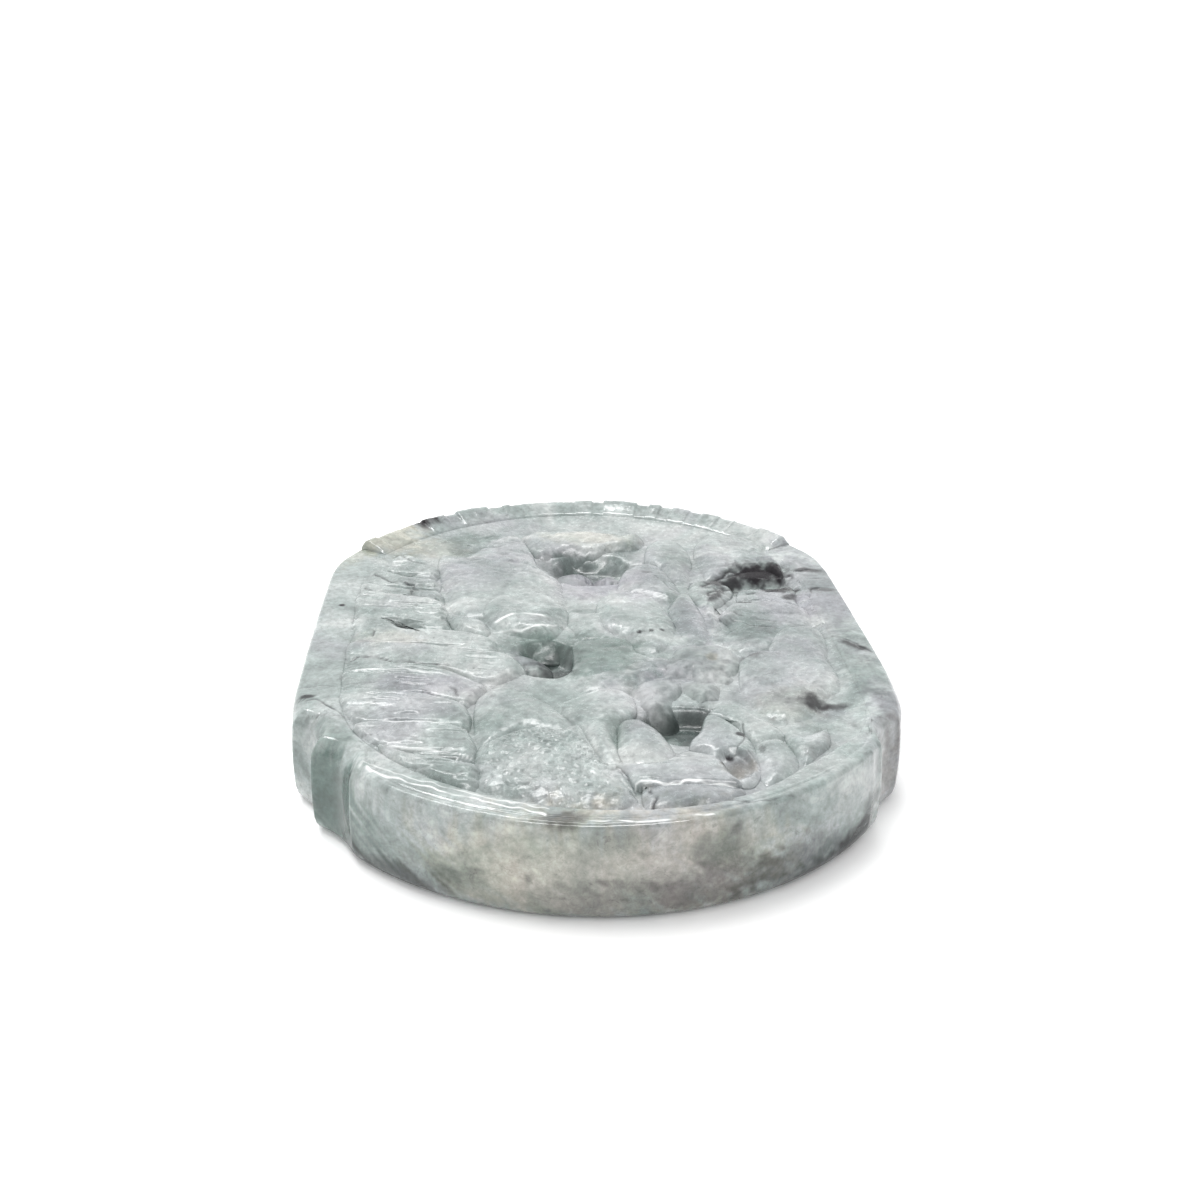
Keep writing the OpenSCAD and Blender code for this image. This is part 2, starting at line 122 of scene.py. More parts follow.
ROCKS = [
    [(6.8, -3.4), (9.8, -3.2), (11, -4.8), (11.2, -6.6), (10.4, -9.4), (8.8, -9.9), (6.4, -9.2),
     (4.6, -8.8), (4.8, -6.4), (6, -4.8)],
    [(2.4, -10), (4.4, -8.5), (6.1, -9.2), (5.9, -12.6), (5.2, -14.2), (3.6, -14.4), (2.4, -13.8), (2, -12)],
    [(6.1, -9.2), (8.7, -9.7), (9.3, -11.8), (9, -12.9), (8.2, -12.8), (6.6, -13.2), (6, -11.5)],
    [(-7.4, -3.8), (-6, -3), (-4.6, -3.6), (-3.4, -4.8), (-3.2, -6), (-4.4, -6.8), (-6, -6.2), (-7, -5.2)],
]
STALKS = [
    [(-2.4, 12.4), (-1.2, 13.8), (0.4, 13.8), (1.1, 12), (0.8, 9.4), (0.4, 7), (-1, 6.6), (-1.6, 9.5)],
    [(1, 11.4), (1.9, 13), (3.2, 12.8), (3.8, 11), (2.9, 8.6), (2, 7), (1, 7.4)],
]
LEAVES = [
    [(-11.5, 2.7), (-10, 2.5), (-8.4, 1.7), (-7.8, 0), (-8.2, -1.1), (-10, -0.6), (-11, 1)],
    [(-2.4, -12), (0.4, -10.4), (2.2, -11.4), (2.4, -14), (1.2, -15.6), (0.8, -17.4), (1, -20.6),
     (-0.4, -20.4), (-1.6, -17.4), (-3.4, -13.4)],
    [(1, -15.3), (2.3, -14.8), (3.4, -16), (4.1, -17.6), (4.4, -19.6), (3.4, -21.2), (1.6, -21.4),
     (0.7, -19.4), (0.8, -17.2)],
]
FAR_BANK = [(-15.2, 18), (-14.8, 20.6), (-12.8, 22.6), (-9.6, 24.4), (-6.4, 25.2), (-4.6, 23.6), (-5.2, 20.4),
            (-8.4, 16.6), (-10.2, 15.2), (-12.6, 15.4)]
CORNER_BOSS = [(-19.6, 10.8), (-19.8, 16), (-18, 20.6), (-15.4, 22.6), (-14.4, 20.8), (-14.9, 18),
               (-15.9, 16), (-17, 13.8), (-18, 12)]
CRAG = [(-5.4, 19.6), (-3.6, 21.2), (-1, 21.4), (2, 20.8), (5.6, 20.4), (6.4, 18.8), (5.6, 17.2),
        (3.4, 16.6), (1.4, 15.6), (-1.2, 15.8), (-3.4, 15), (-5, 16.4)]
NECK = [(-12.5, 15.6), (-10.2, 15.2), (-8.4, 18), (-6.3, 20.2), (-5, 19.2), (-4.2, 16), (-3.6, 13),
        (-2.1, 11), (-1.2, 8), (-0.8, 4), (-2, 2.4), (-5, 4), (-8, 1.4), (-11.4, 2.4), (-12.1, 6),
        (-12.4, 10)]
BREAST = [(-8.6, 2.6), (-7.9, 5.4), (-5.5, 6.5), (-3.2, 6), (-1.8, 4), (-1.3, 1), (-1.5, -1.6),
          (-2.6, -2.8), (-5, -2.6), (-7.2, -1.6), (-8.3, 0.2)]
BRIDGE = [(-1.6, 3.4), (-0.2, 3.2), (1.2, 3), (1.6, 0.6), (3, -1), (2, -2.2), (-1.2, -2.2), (-1.7, 0.6)]
FLANK = [(-1.2, -1.9), (2.6, -1.7), (3.6, -4.4), (5.8, -5.4), (5.6, -8), (3.4, -9.6), (2.2, -11),
         (-0.4, -11), (-2, -9.4), (-1.6, -5.5)]
RIBBON = [(7.2, 5.4), (8.7, 7.2), (9.5, 3), (9.9, 0.4), (9.8, -2.6), (8.6, -3.8), (6.8, -3.4), (6.6, 3)]
SIDE_PANEL = [(9.6, 9.6), (11.8, 9.6), (12.8, 7.6), (12, 5.4), (10.8, 3.4), (11, 0.8), (11.8, -0.6),
              (10, -1.4), (9.7, 1), (9.4, 3.8), (8.8, 7)]
KNOB = [(15.6, 13.4), (16.2, 14.7), (17.2, 14.4), (17.9, 12.8), (18.1, 10.6), (17.7, 9.2), (16.9, 10.4),
        (15.9, 12)]
LEDGE = [(12.9, 6.6), (13.6, 7.5), (16.4, 7.6), (17.9, 7.9), (18.2, 5.2), (17.8, 3.2), (13.6, 4.6), (12.6, 5)]
SHOULDER = [(-8, -10.4), (-6.6, -10), (-4.8, -11.4), (-3.2, -13.2), (-1.6, -15.4), (-2.4, -17.4),
            (-5.4, -17), (-7.2, -18), (-8.8, -18), (-9, -15), (-8.9, -12)]
COIL = [(-8.6, -18.4), (-7, -17), (-5.2, -16), (-3.2, -16.4), (-1.8, -15.8), (-1.2, -18), (-0.4, -20.2),
        (1, -21.2), (1.6, -23.4), (1.9, -25.6), (0, -26.5), (-2.4, -26.4), (-4.6, -25.7), (-7, -24.4),
        (-8.6, -23.4), (-8.8, -21)]
TAIL_FAN = [(0.4, -20.8), (2.6, -21.1), (4.4, -19.9), (5.4, -19.4), (7.2, -20.4), (7.6, -22.4), (8, -23.9),
            (5, -23.7), (1.7, -23.8), (1, -22)]
TAIL_ROOT = [(2, -23.6), (5, -23.4), (7.9, -23.8), (8, -25), (5.2, -26), (2.1, -26.4)]
RIDGE = [(7.2, -14.8), (8.2, -13.4), (9.6, -13.3), (10.6, -14.8), (12, -16.4), (12.2, -17.6), (11.4, -18.6),
         (10, -19.6), (9.2, -17), (8.2, -15.4)]
CURL = [(7.1, -15), (8.1, -15.2), (9.2, -17), (9.9, -19.4), (9.8, -21.6), (9, -23.6), (7.8, -23.4),
        (7.2, -21.6), (6.4, -20), (5.5, -19.2), (5.6, -18.2), (6.4, -17)]
# Lobes that stand on the clouds at the right
CLOUD_5_TOP = [(11.4, 1.6), (12.4, 3.9), (14, 4.7), (16.2, 4.4), (17.8, 3.4), (18.2, 1.4), (16.4, 0.8),
               (13.6, 0.4)]
CLOUD_5_LOBE = [(13.6, -4.2), (14.4, -2.2), (15.4, -0.9), (17.4, -0.6), (18.4, -1.8), (18.3, -4.6), (17.6, -6.6),
                (15.6, -6.6), (13.8, -6)]
CLOUD_6_LOBE = [(13.4, -9.4), (14.2, -7.2), (15.6, -6), (17.4, -6.2), (18, -8), (17.9, -10.6), (16.6, -11.6),
                (14.4, -11.2)]


# ---------------------------------------------------------------- numbers on a plane

def smooth(t):
    """Smooth step: 0 below 0, 1 above 1, and 3t^2 - 2t^3 between."""
    t = np.clip(t, 0, 1)
    return t * t * (3 - 2 * t)


def window(t, start, end, soft):
    """1 between start and end, falling smoothly to 0 over the soft width at either side."""
    return smooth((t - start) / soft + 0.5) * smooth((end - t) / soft + 0.5)


def closed_curve(points, steps=10):
    """Closed Catmull-Rom curve: on each span a cubic through both ends, its slopes from their neighbours."""
    p = np.array(points, float)
    t = np.linspace(0, 1, steps, endpoint=False)[None, :, None]
    a, b, c, d = (np.roll(p, k, axis=0)[:, None] for k in (1, 0, -1, -2))
    cubic = 2 * b + (c - a) * t + (2 * a - 5 * b + 4 * c - d) * t**2 + (3 * b - a - 3 * c + d) * t**3
    return (0.5 * cubic).reshape(-1, 2)


def line_distance(x, y, line):
    """Distance from each point to the nearest of a line's straight spans."""
    line = np.array(line, float)
    best = np.full(np.shape(x), 1e9)
    for (ax, ay), (bx, by) in zip(line[:-1], line[1:]):
        dx, dy = bx - ax, by - ay
        along = np.clip(((x - ax) * dx + (y - ay) * dy) / (dx * dx + dy * dy + 1e-12), 0, 1)
        best = np.minimum(best, np.hypot(x - ax - along * dx, y - ay - along * dy))
    return best


def noise(x, y, cell, seed):
    """Value noise from -1 to 1: random heights on a square net, blended by a smooth step."""
    net = np.random.default_rng(seed).uniform(-1, 1, (128, 128))
    u, v = x / cell + 500.37, y / cell + 500.71
    i, j = np.floor(u).astype(int), np.floor(v).astype(int)
    s, t = smooth(u - i), smooth(v - j)

    def corner(a, b):
        """The random height at a corner of each point's square."""
        return net[(i + a) % 128, (j + b) % 128]

    near = corner(0, 0) * (1 - s) + corner(1, 0) * s
    far = corner(0, 1) * (1 - s) + corner(1, 1) * s
    return near * (1 - t) + far * t


def rough(x, y, cell, seed):
    """Three layers of value noise, each half the size and half the strength of the last."""
    return sum(noise(x, y, cell / 2**k, seed + k) / 2**k for k in range(3)) / 1.75


# ---------------------------------------------------------------- cuts in the stone's surface

def striations(x, y, heading, pitch, depth, seed):
    """Fine grooves along a heading in degrees: a sharpened cosine across it, bent and broken by noise."""
    a = math.radians(heading)
    across = -x * math.sin(a) + y * math.cos(a) + 0.5 * rough(x, y, 3.5, seed)
    cut = (0.5 + 0.5 * np.cos(2 * np.pi * across / pitch)) ** 3
    return -depth * cut * smooth(0.35 + 1.3 * noise(x / 2.5, y, 1.0, seed + 1))


def scales(x, y, middle, pitch, depth, seed):
    """Rows of overlapping scales ringed round a middle. A point belongs to the scale one row nearer the middle
    wherever it is inside that scale's round tip, else to its own row's; each scale tilts up towards its tip."""
    x = x + 0.4 * noise(x, y, 1.7, seed)
    y = y + 0.4 * noise(x, y, 1.7, seed + 1)
    away = np.hypot(x - middle[0], y - middle[1]) / pitch
    around = np.arctan2(y - middle[1], x - middle[0]) * 7.5 / pitch
    row = np.floor(away)
    height = np.zeros(np.shape(x))
    for back in (0, 1):
        along = away - row + back
        aside = (around + 0.5 * ((row - back) % 2)) % 1 * 2 - 1
        tip = 0.5 + 0.95 * np.sqrt(1 - aside**2)
        height = np.where(along < tip, along / 1.45 - 0.25 * aside**2, height)
    return depth * (height - 0.45)


def chisel(x, y):
    """Unevenness left all over by carving and polishing: broad dips and small facets."""
    return 0.08 * rough(x, y, 3.1, 11) + 0.045 * rough(x, y, 1.0, 23) + 0.015 * noise(x, y, 0.3, 29)


# Cracks and knife lines: width, strength, and the points of the line
CRACKS = [
    (0.10, 0.8, [(-17.9, 10.9), (-16.6, 9.6), (-15.2, 9.1), (-14.6, 8.7), (-12.4, 8.6)]),
    (0.12, 0.8, [(-18.5, 7.9), (-17, 6.9), (-15.7, 6.5), (-14, 6.2), (-12.2, 5.9)]),
    (0.10, 0.7, [(-14.6, 6.4), (-14.4, 8.8)]),
    (0.09, 0.5, [(-16.3, 15.4), (-15, 13.8), (-13.2, 12.5)]),
    (0.16, 0.7, [(-15.1, 0.3), (-13.8, 0.1), (-12.5, -0.2), (-11.6, 0.2)]),
    (0.07, 0.7, [(-17, -1.4), (-16.8, -0.4)]),
    (0.07, 0.4, [(-18.6, -2.6), (-15, -2.9), (-11, -3.7)]),
    (0.10, 0.7, [(-18.5, -5.6), (-17.6, -4.9), (-16.5, -5.1), (-15.4, -5.8), (-13, -6.2), (-10.1, -7)]),
    (0.07, 0.4, [(-18.2, -9.4), (-15, -9.3), (-12, -9.8)]),
    (0.10, 0.6, [(-11.2, -9.6), (-10.4, -10.4), (-10, -11.2)]),
    (0.06, 0.35, [(-16.4, -16.8), (-13.4, -17.2), (-9.6, -17.8)]),
    (0.09, 0.7, [(-21.3, -11.8), (-20.2, -11.6), (-19, -12.6), (-17.8, -14)]),
    (0.06, 0.5, [(-21.6, -9.9), (-20, -9.4), (-18.8, -9.5)]),
    (0.06, 0.5, [(-21.2, -13.6), (-19.6, -13.8), (-18.2, -14)]),
    (0.24, 0.9, [(15.2, 12.2), (12.8, 11.2), (11.2, 9.8), (10.3, 8.2)]),
    (0.20, 0.9, [(13.6, 10), (11.8, 8.4), (10.6, 6.6), (10.3, 5.2)]),
    (0.16, 0.8, [(17.6, 9), (15.4, 8.6), (13.2, 8.4), (12, 7.4), (11.4, 6), (11.9, 4.6), (13.6, 4)]),
    (0.14, 0.6, [(17.9, 6.2), (16, 6.6), (13.8, 6.4)]),
    (0.09, 0.8, [(18.6, 10.8), (19.8, 10.9), (21.5, 10.2)]),
    (0.08, 0.7, [(18.9, 5.2), (19.4, 6.6), (20.2, 6.9), (21.2, 6.7)]),
    (0.06, 0.5, [(18.8, 8.8), (20.6, 8.9)]),
    (0.07, 0.6, [(10.7, 3.2), (11.2, 1.6), (12.6, 0), (14.6, -0.9)]),
    (0.07, 0.5, [(11.2, 4.2), (11.6, 2.4), (13, 0.9), (15, 0.3)]),
    (0.06, 0.5, [(5.2, 11), (6.4, 9.8), (7.6, 7.2)]),
    (0.09, 0.6, [(9.2, 8.6), (10.1, 8.2), (10.6, 7.6)]),
    (0.08, 0.7, [(19, -2.6), (20.2, -3.6), (21.3, -5.6)]),
    (0.14, 0.9, [(2.2, -24.3), (2.5, -25.4), (2.1, -26.6)]),
    (0.06, 0.5, [(9.6, -16.2), (9.2, -18.4), (8, -20.6)]),
    (0.07, 0.5, [(6.6, -25.6), (8.4, -26.2), (11, -25.4)]),
    (0.06, 0.4, [(-9.6, 17.4), (-7.6, 16.8), (-6.2, 17.6)]),
    (0.09, 0.6, [(-12.6, 15.6), (-10, 16), (-8.4, 18), (-6.4, 20.6)]),
]

# Painted highlights: thin pale lines along polished brows, standing in for the glint of light on them; width,
# strength, and the points of the line
PAINTED_HIGHLIGHT_LINES = [
    (0.07, 0.9, [(1.1, -23.5), (3, -23.7), (5.6, -23.6), (7.7, -23.9)]),
    (0.07, 0.8, [(-16.9, -20.1), (-14.8, -21.8), (-12.2, -23.3), (-8.4, -25.2), (-4.5, -26.9)]),
    (0.05, 0.5, [(-16.7, -19.6), (-14.6, -21.3), (-12, -22.8), (-8.2, -24.7), (-4.3, -26.4)]),
    (0.06, 0.75, [(-1.8, -27.7), (1.8, -28), (5.7, -27.3)]),
    (0.12, 0.8, [(-7.5, 1.4), (-5.5, 2.1), (-2.9, 1)]),
    (0.08, 0.6, [(-7.2, 0.2), (-5.4, -0.3), (-3.4, 0), (-2.5, 0.7)]),
    (0.07, 0.5, [(-15.2, -15.2), (-12, -15.4), (-9.2, -16)]),
    (0.07, 0.5, [(-17.6, -7.4), (-14, -7.6), (-9.4, -8.8)]),
    (0.07, 0.5, [(-14.6, -18.2), (-11.6, -18.9), (-8.8, -19.6)]),
]


def line_cover(x, y, lines):
    """How strongly any line covers a point: a bell curve across each line, broken along it by noise."""
    cover = np.zeros(np.shape(x))
    bent_x, bent_y = x + 0.16 * noise(x, y, 0.7, 301), y + 0.16 * noise(x, y, 0.7, 303)
    broken = smooth(0.8 + 0.9 * noise(x, y, 0.9, 305))
    for width, strength, line in lines:
        low, high = np.min(line, axis=0) - 0.6, np.max(line, axis=0) + 0.6
        near = (x > low[0]) & (x < high[0]) & (y > low[1]) & (y < high[1])
        cut = np.exp(-((line_distance(bent_x[near], bent_y[near], line) / width) ** 2))
        cover[near] = np.maximum(cover[near], strength * cut * broken[near])
    return cover


def cracks(x, y):
    """How strongly any crack covers a point."""
    return line_cover(x, y, CRACKS)


# Colour patches by kind: place x, y, z, half lengths along, across and up, turn in degrees, strength. Most are
# stains in
#  the stone; some dark and green ones low in hollows are painted shade, and some darken the walls towards the
#  foot and the right side against the left.
STAINS_AND_PAINTED_SHADE = {
    "dark": [
        (15.7, 11.0, 6.7, 2.9, 1.6, 2.2, -14, 1.0), (12.6, 9.6, 6.6, 2.6, 1.0, 2.0, 35, 0.9),
        (16.8, 7.2, 6.5, 1.6, 0.8, 2.0, -6, 0.95), (11.1, 6.2, 6.7, 2.0, 0.5, 1.6, 62, 0.85),
        (17.3, 5.6, 6.7, 0.7, 0.5, 1.6, 40, 0.8), (20.4, -14.6, 3.4, 1.8, 3.6, 4.2, 0, 0.28),
        (15.2, -12.9, 6.8, 1.4, 0.9, 1.6, -10, 0.9), (16.9, -13.1, 6.8, 1.0, 0.5, 1.4, 10, 0.8),
        (12.1, -5.3, 7.0, 1.1, 0.8, 1.2, -20, 0.7), (8.3, -21.2, 6.7, 1.3, 1.0, 1.2, 30, 0.6),
        # The dark patch at (5.8, -14.2), low in the hollow below the rocks, is painted shade.
        (5.8, -14.2, 5.6, 3.8, 1.5, 1.5, 6, 0.5), (20.3, -4.4, 7.0, 1.6, 0.5, 1.0, -50, 0.85),
        (20.4, 6.6, 7.0, 1.2, 0.4, 1.0, -10, 0.7), (19.6, 11.0, 7.0, 1.4, 0.5, 1.0, -12, 0.8),
        (-13.8, 0.1, 6.8, 1.3, 0.25, 0.8, -6, 0.7), (-14.4, 23.0, 7.3, 2.0, 1.3, 1.8, 20, 1.0),
        # The dark patch at (-2.8, -5.0), low in the hollow under the breast, is painted shade.
        (-3.6, -27.5, 7.0, 1.4, 0.9, 1.0, 0, 0.7), (-2.8, -5.0, 5.3, 2.2, 2.2, 1.6, -30, 0.7),
        # The dark patch at (1.0, 14.6), low in the hollow under the crag, is painted shade.
        (1.0, 14.6, 5.2, 3.6, 0.8, 0.8, 0, 0.35), (-20.0, 4.7, 7.0, 0.22, 0.2, 0.6, 0, 1.0),
        (-20.7, -11.2, 7.0, 0.7, 0.26, 0.8, 10, 0.9), (5.7, 10.6, 6.9, 0.5, 0.2, 0.8, -10, 0.6),
        (3.9, -1.2, 6.8, 0.24, 0.2, 0.8, 0, 1.0), (4.8, -1.1, 6.8, 0.24, 0.2, 0.8, 0, 1.0),
        (5.7, -0.7, 6.8, 0.26, 0.22, 0.8, 0, 0.9), (9.1, -17.9, 7.0, 0.4, 0.3, 0.8, 30, 0.9),
        # The dark patches at heights of 2.2 mm and less lie low on the walls and make them darker towards the
        # foot.
        (7.9, -20.3, 7.0, 0.4, 0.34, 0.8, 0, 1.0), (-17.3, -20.9, 0.4, 2.2, 0.9, 0.9, -38, 0.8),
        (16.4, -21.6, 0.9, 2.8, 1.2, 1.5, 42, 0.9), (13.2, -24.0, 0.6, 3.0, 1.0, 0.9, 28, 0.75),
        (-6.1, 13.6, 7.0, 0.2, 0.14, 0.5, 0, 0.6), (-17.1, -20.6, 6.6, 0.5, 0.3, 0.7, -40, 0.7),
        (10.2, -19.6, 6.8, 0.25, 0.5, 0.6, 0, 0.5), (17.3, -15.8, 6.8, 0.4, 1.0, 0.8, 8, 0.35),
        (-5.5, -27.5, 3.0, 0.3, 0.9, 0.3, 0, 0.4), (-8.4, -26.9, 3.1, 0.8, 0.6, 0.25, -20, 0.35),
        (7.3, -27.3, 5.9, 0.5, 0.6, 0.4, 0, 0.5), (1.6, -28.4, 5.0, 0.5, 0.6, 0.3, 0, 0.3),
        (6.4, -27.6, 4.2, 2.2, 1.6, 1.7, -12, 0.3), (11.6, -25.4, 1.8, 4.6, 1.8, 2.0, 30, 0.5),
        (17.4, -20.0, 3.0, 1.6, 1.4, 1.6, 45, 0.5), (-0.6, -28.4, 3.1, 0.7, 0.6, 0.25, 0, 0.4),
        (-14.2, -23.6, 0.7, 4.4, 1.4, 1.3, -40, 0.65), (6.0, -27.6, 2.2, 6.0, 1.6, 1.8, 10, 0.35),
        (-3.0, -27.8, 1.0, 13.0, 3.4, 1.9, 0, 0.24), (-17.2, -20.8, 1.4, 2.0, 1.3, 2.0, -48, 0.32),
    ],
    "green": [
        (-18.2, -19.2, 3.2, 3.6, 1.8, 4.4, -50, 1.0), (-16.8, -21.2, 1.8, 3.6, 1.8, 3.0, -46, 0.85),
        (-18.6, -16.2, 6.8, 2.6, 1.6, 1.4, -50, 0.65),
        # The green patches at (0.6, 16.0), low under the crag, and at (-4.4, -2.0), on the breast's front face,
        # are the stone's green deepened into painted shade.
        (0.6, 16.0, 5.3, 5.0, 1.2, 1.3, -4, 0.85), (-4.4, -2.0, 5.6, 3.4, 1.8, 1.5, 0, 0.85),
        (-4.6, -0.6, 6.9, 2.8, 1.6, 1.2, 0, 0.4), (12.8, -0.6, 6.9, 2.6, 2.6, 1.6, 0, 0.6),
        (12.6, -8.0, 6.9, 1.6, 3.0, 1.2, 0, 0.35), (1.0, -5.0, 6.8, 3.4, 4.2, 1.6, 0, 0.85),
        # The green patch at (5.6, -14.6), low in the hollow below the rocks, is the stone's green deepened into
        # painted shade.
        (-9.6, 20.2, 6.7, 2.4, 1.2, 1.2, 20, 0.6), (5.6, -14.6, 5.4, 2.6, 2.0, 1.4, 0, 0.75),
        (6.0, -27.7, 4.9, 1.6, 1.2, 1.1, 0, 0.45), (15.4, -22.4, 1.6, 4.2, 1.6, 1.8, 35, 0.6),
        (3.6, -25.2, 6.4, 2.2, 0.8, 0.8, 0, 0.45), (-4.6, -12.6, 7.0, 3.4, 3.0, 1.2, 0, 0.35),
        (1.0, -16.0, 6.3, 1.2, 2.4, 1.4, 0, 0.6), (7.6, -6.6, 6.8, 1.8, 1.8, 1.2, 0, 0.45),
        (-10.6, -22.4, 6.8, 2.8, 1.4, 1.0, 30, 0.3), (14.4, -16.4, 6.8, 1.0, 0.8, 1.2, 0, 0.5),
        (20.2, -9.6, 7.0, 1.8, 2.8, 1.4, 0, 0.5), (20.4, 4.0, 7.0, 1.8, 9.0, 1.4, 4, 0.4),
        (8.8, 13.4, 6.9, 1.6, 4.0, 1.2, 10, 0.3),
        (-8.0, -15.2, 6.4, 1.4, 1.4, 1.2, 0, 0.5), (-15.8, 15.6, 6.6, 1.4, 0.8, 1.0, -20, 0.35),
        (-11.0, 2.6, 6.7, 1.6, 1.2, 1.0, -20, 0.35), (-12.6, -25.2, 2.2, 3.4, 1.4, 2.2, -28, 0.45),
    ],
    "lilac": [
        (-8.8, 11.4, 7.0, 4.0, 4.2, 1.4, 0, 0.55), (0.6, 10.4, 6.0, 2.8, 3.2, 1.6, 0, 0.8),
        (5.4, 8.6, 7.0, 2.6, 3.8, 1.4, -20, 0.5), (8.4, 1.6, 6.8, 1.8, 4.6, 1.4, 0, 0.8),
        (5.4, -7.0, 6.8, 3.0, 2.0, 1.4, 10, 0.65), (-12.0, -9.6, 7.0, 4.0, 1.6, 1.2, -6, 0.5),
        # The wide lilac patches at (20.2, 7.0) and (14.0, 2.0) make the right rim and the clouds beside it
        # darker than the left side.
        (20.2, 7.0, 7.0, 2.4, 9.0, 3.0, 6, 0.75), (14.0, 2.0, 7.0, 5.0, 14.0, 1.6, 0, 0.4),
        (21.0, -14.0, 4.0, 2.4, 6.0, 5.0, 0, 0.7), (11.4, 12.6, 7.0, 2.0, 4.0, 1.4, 0, 0.5),
        (5.4, -27.8, 2.2, 3.6, 1.8, 1.4, 0, 0.45), (-1.0, -28.4, 1.8, 5.0, 1.8, 1.4, 0, 0.3),
        (-5.0, -4.2, 6.0, 1.8, 1.4, 1.2, 0, 0.8), (-9.4, 2.4, 7.0, 2.4, 1.4, 1.2, -20, 0.3),
        (16.4, -13.8, 7.0, 1.2, 0.8, 1.0, 20, 0.7), (18.2, 5.8, 6.8, 1.0, 1.0, 1.2, 0, 0.7),
        (3.6, -12.4, 5.2, 1.0, 1.0, 1.0, 0, 0.6), (2.6, -16.8, 6.9, 1.4, 2.2, 1.2, 0, 0.4),
        (16.6, 13.2, 7.1, 1.0, 0.8, 0.8, 0, 0.8),
    ],
    "cream": [
        (-17.6, 19.4, 7.2, 3.6, 4.0, 1.8, 30, 0.75), (-16.6, 21.6, 7.5, 1.5, 1.3, 1.5, 0, 1.0),
        (-19.6, 16.6, 7.2, 1.6, 4.0, 2.0, -20, 0.5),
        (-2.0, -27.6, 3.6, 16.0, 3.4, 3.6, 0, 0.8), (8.9, -5.7, 7.0, 0.5, 0.6, 0.7, 0, 0.8),
        (20.4, -17.6, 4.0, 1.6, 2.4, 3.6, 0, 0.45), (-12.6, 17.4, 7.0, 3.0, 2.4, 1.2, 0, 0.4),
        (4.0, -27.9, 6.2, 5.0, 1.0, 0.9, 0, 0.4), (8.3, -21.6, 7.0, 1.2, 1.0, 1.0, 30, 0.6),
        (13.6, -13.0, 7.0, 2.6, 2.4, 1.2, 0, 0.3), (-16.0, -1.8, 7.0, 2.6, 1.6, 1.2, 0, 0.35),
        (-3.5, -27.9, 6.8, 1.4, 0.7, 0.8, 0, 0.7), (1.0, 19.0, 7.1, 5.0, 1.6, 1.2, 0, 0.4),
    ],
}


def stain_and_shade_cover(x, y, z, stains_and_shades):
    """How strongly any of the patches covers a point, stains and painted shade alike: full inside its ellipsoid,
    fading over a ragged edge. The raggedness stops changing with height near the top, where it would comb the
    relief's slopes."""
    cover = np.zeros(np.shape(x))
    wall_z = np.minimum(z, 5)
    fray = 0.35 * rough(x + 0.7 * wall_z, y + 0.9 * wall_z, 1.7, 41)
    fray = fray + 0.45 * rough(x + 1.1 * wall_z, y - 0.9 * wall_z, 0.5, 43)
    for sx, sy, sz, along, across, up, turn, strength in stains_and_shades:
        near = np.flatnonzero(np.hypot(x - sx, y - sy) < 2.2 * max(along, across))
        a = math.radians(turn)
        u = ((x[near] - sx) * math.cos(a) + (y[near] - sy) * math.sin(a)) / along
        v = (-(x[near] - sx) * math.sin(a) + (y[near] - sy) * math.cos(a)) / across
        far = np.sqrt(u * u + v * v + ((z[near] - sz) / up) ** 2)
        inside = strength * smooth((1.35 - far + fray[near]) / 0.8)
        cover[near] = 1 - (1 - cover[near]) * (1 - inside)
    return cover


# ---------------------------------------------------------------- meshes

def new_piece(name, points, faces, material, stands_for):
    """Puts points in millimetres and faces into a smooth mesh, writes its stains, painted shade and painted
    highlights, and rides it on the stone. The cracks are dark stains too, but only high up; the painted
    highlights, thin pale lines, lie still nearer the top."""
    mesh = bpy.data.meshes.new(name)
    mesh.from_pydata((points * MM).tolist(), [], faces)
    mesh.shade_smooth()
    values = {kind: stain_and_shade_cover(*points.T, stains_and_shades) for kind, stains_and_shades in STAINS_AND_PAINTED_SHADE.items()}
    line = cracks(points[:, 0], points[:, 1]) * smooth((points[:, 2] - 5.4) / 0.8)
    values["dark"] = np.maximum(values["dark"], line)
    # Painted highlights: the thin pale lines on the brows, only near the top
    values["painted_highlight"] = line_cover(points[:, 0], points[:, 1], PAINTED_HIGHLIGHT_LINES) * smooth((points[:, 2] - 6.2) / 0.4)
    for kind, value in values.items():
        mesh.attributes.new(kind, "FLOAT", "POINT").data.foreach_set("value", value.astype(np.float32))
    mesh.materials.append(material)
    piece = bpy.data.objects.new(name, mesh)
    bpy.context.scene.collection.objects.link(piece)
    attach(piece, "root")
    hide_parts(stands_for)
    return piece


def net_faces(index, wrap=False):
    """Quads between neighbouring rows of an index table; with wrap, its columns join up into a ring."""
    if wrap:
        index = np.column_stack([index, index[:, 0]])
    corners = [index[:-1, :-1], index[:-1, 1:], index[1:, 1:], index[1:, :-1]]
    return np.stack(corners, -1).reshape(-1, 4).tolist()


def block(name, x, y, z, material, stands_for):
    """Closes a net of surface points into a solid: a wall from its border down to the foot, and a face under."""
    index = np.arange(x.size).reshape(x.shape)
    ring = np.concatenate([index[0, :-1], index[:-1, -1], index[-1, :0:-1], index[:0:-1, 0]])
    points = np.column_stack([x.ravel(), y.ravel(), z.ravel()])
    foot = points[ring] * [1, 1, 0] + [0, 0, FOOT_Z]
    below = x.size + np.arange(len(ring))
    wall = np.stack([ring, below, np.roll(below, -1), np.roll(ring, -1)], -1).tolist()
    faces = net_faces(index) + wall + [below[::-1].tolist()]
    return new_piece(name, np.vstack([points, foot]), faces, material, stands_for)


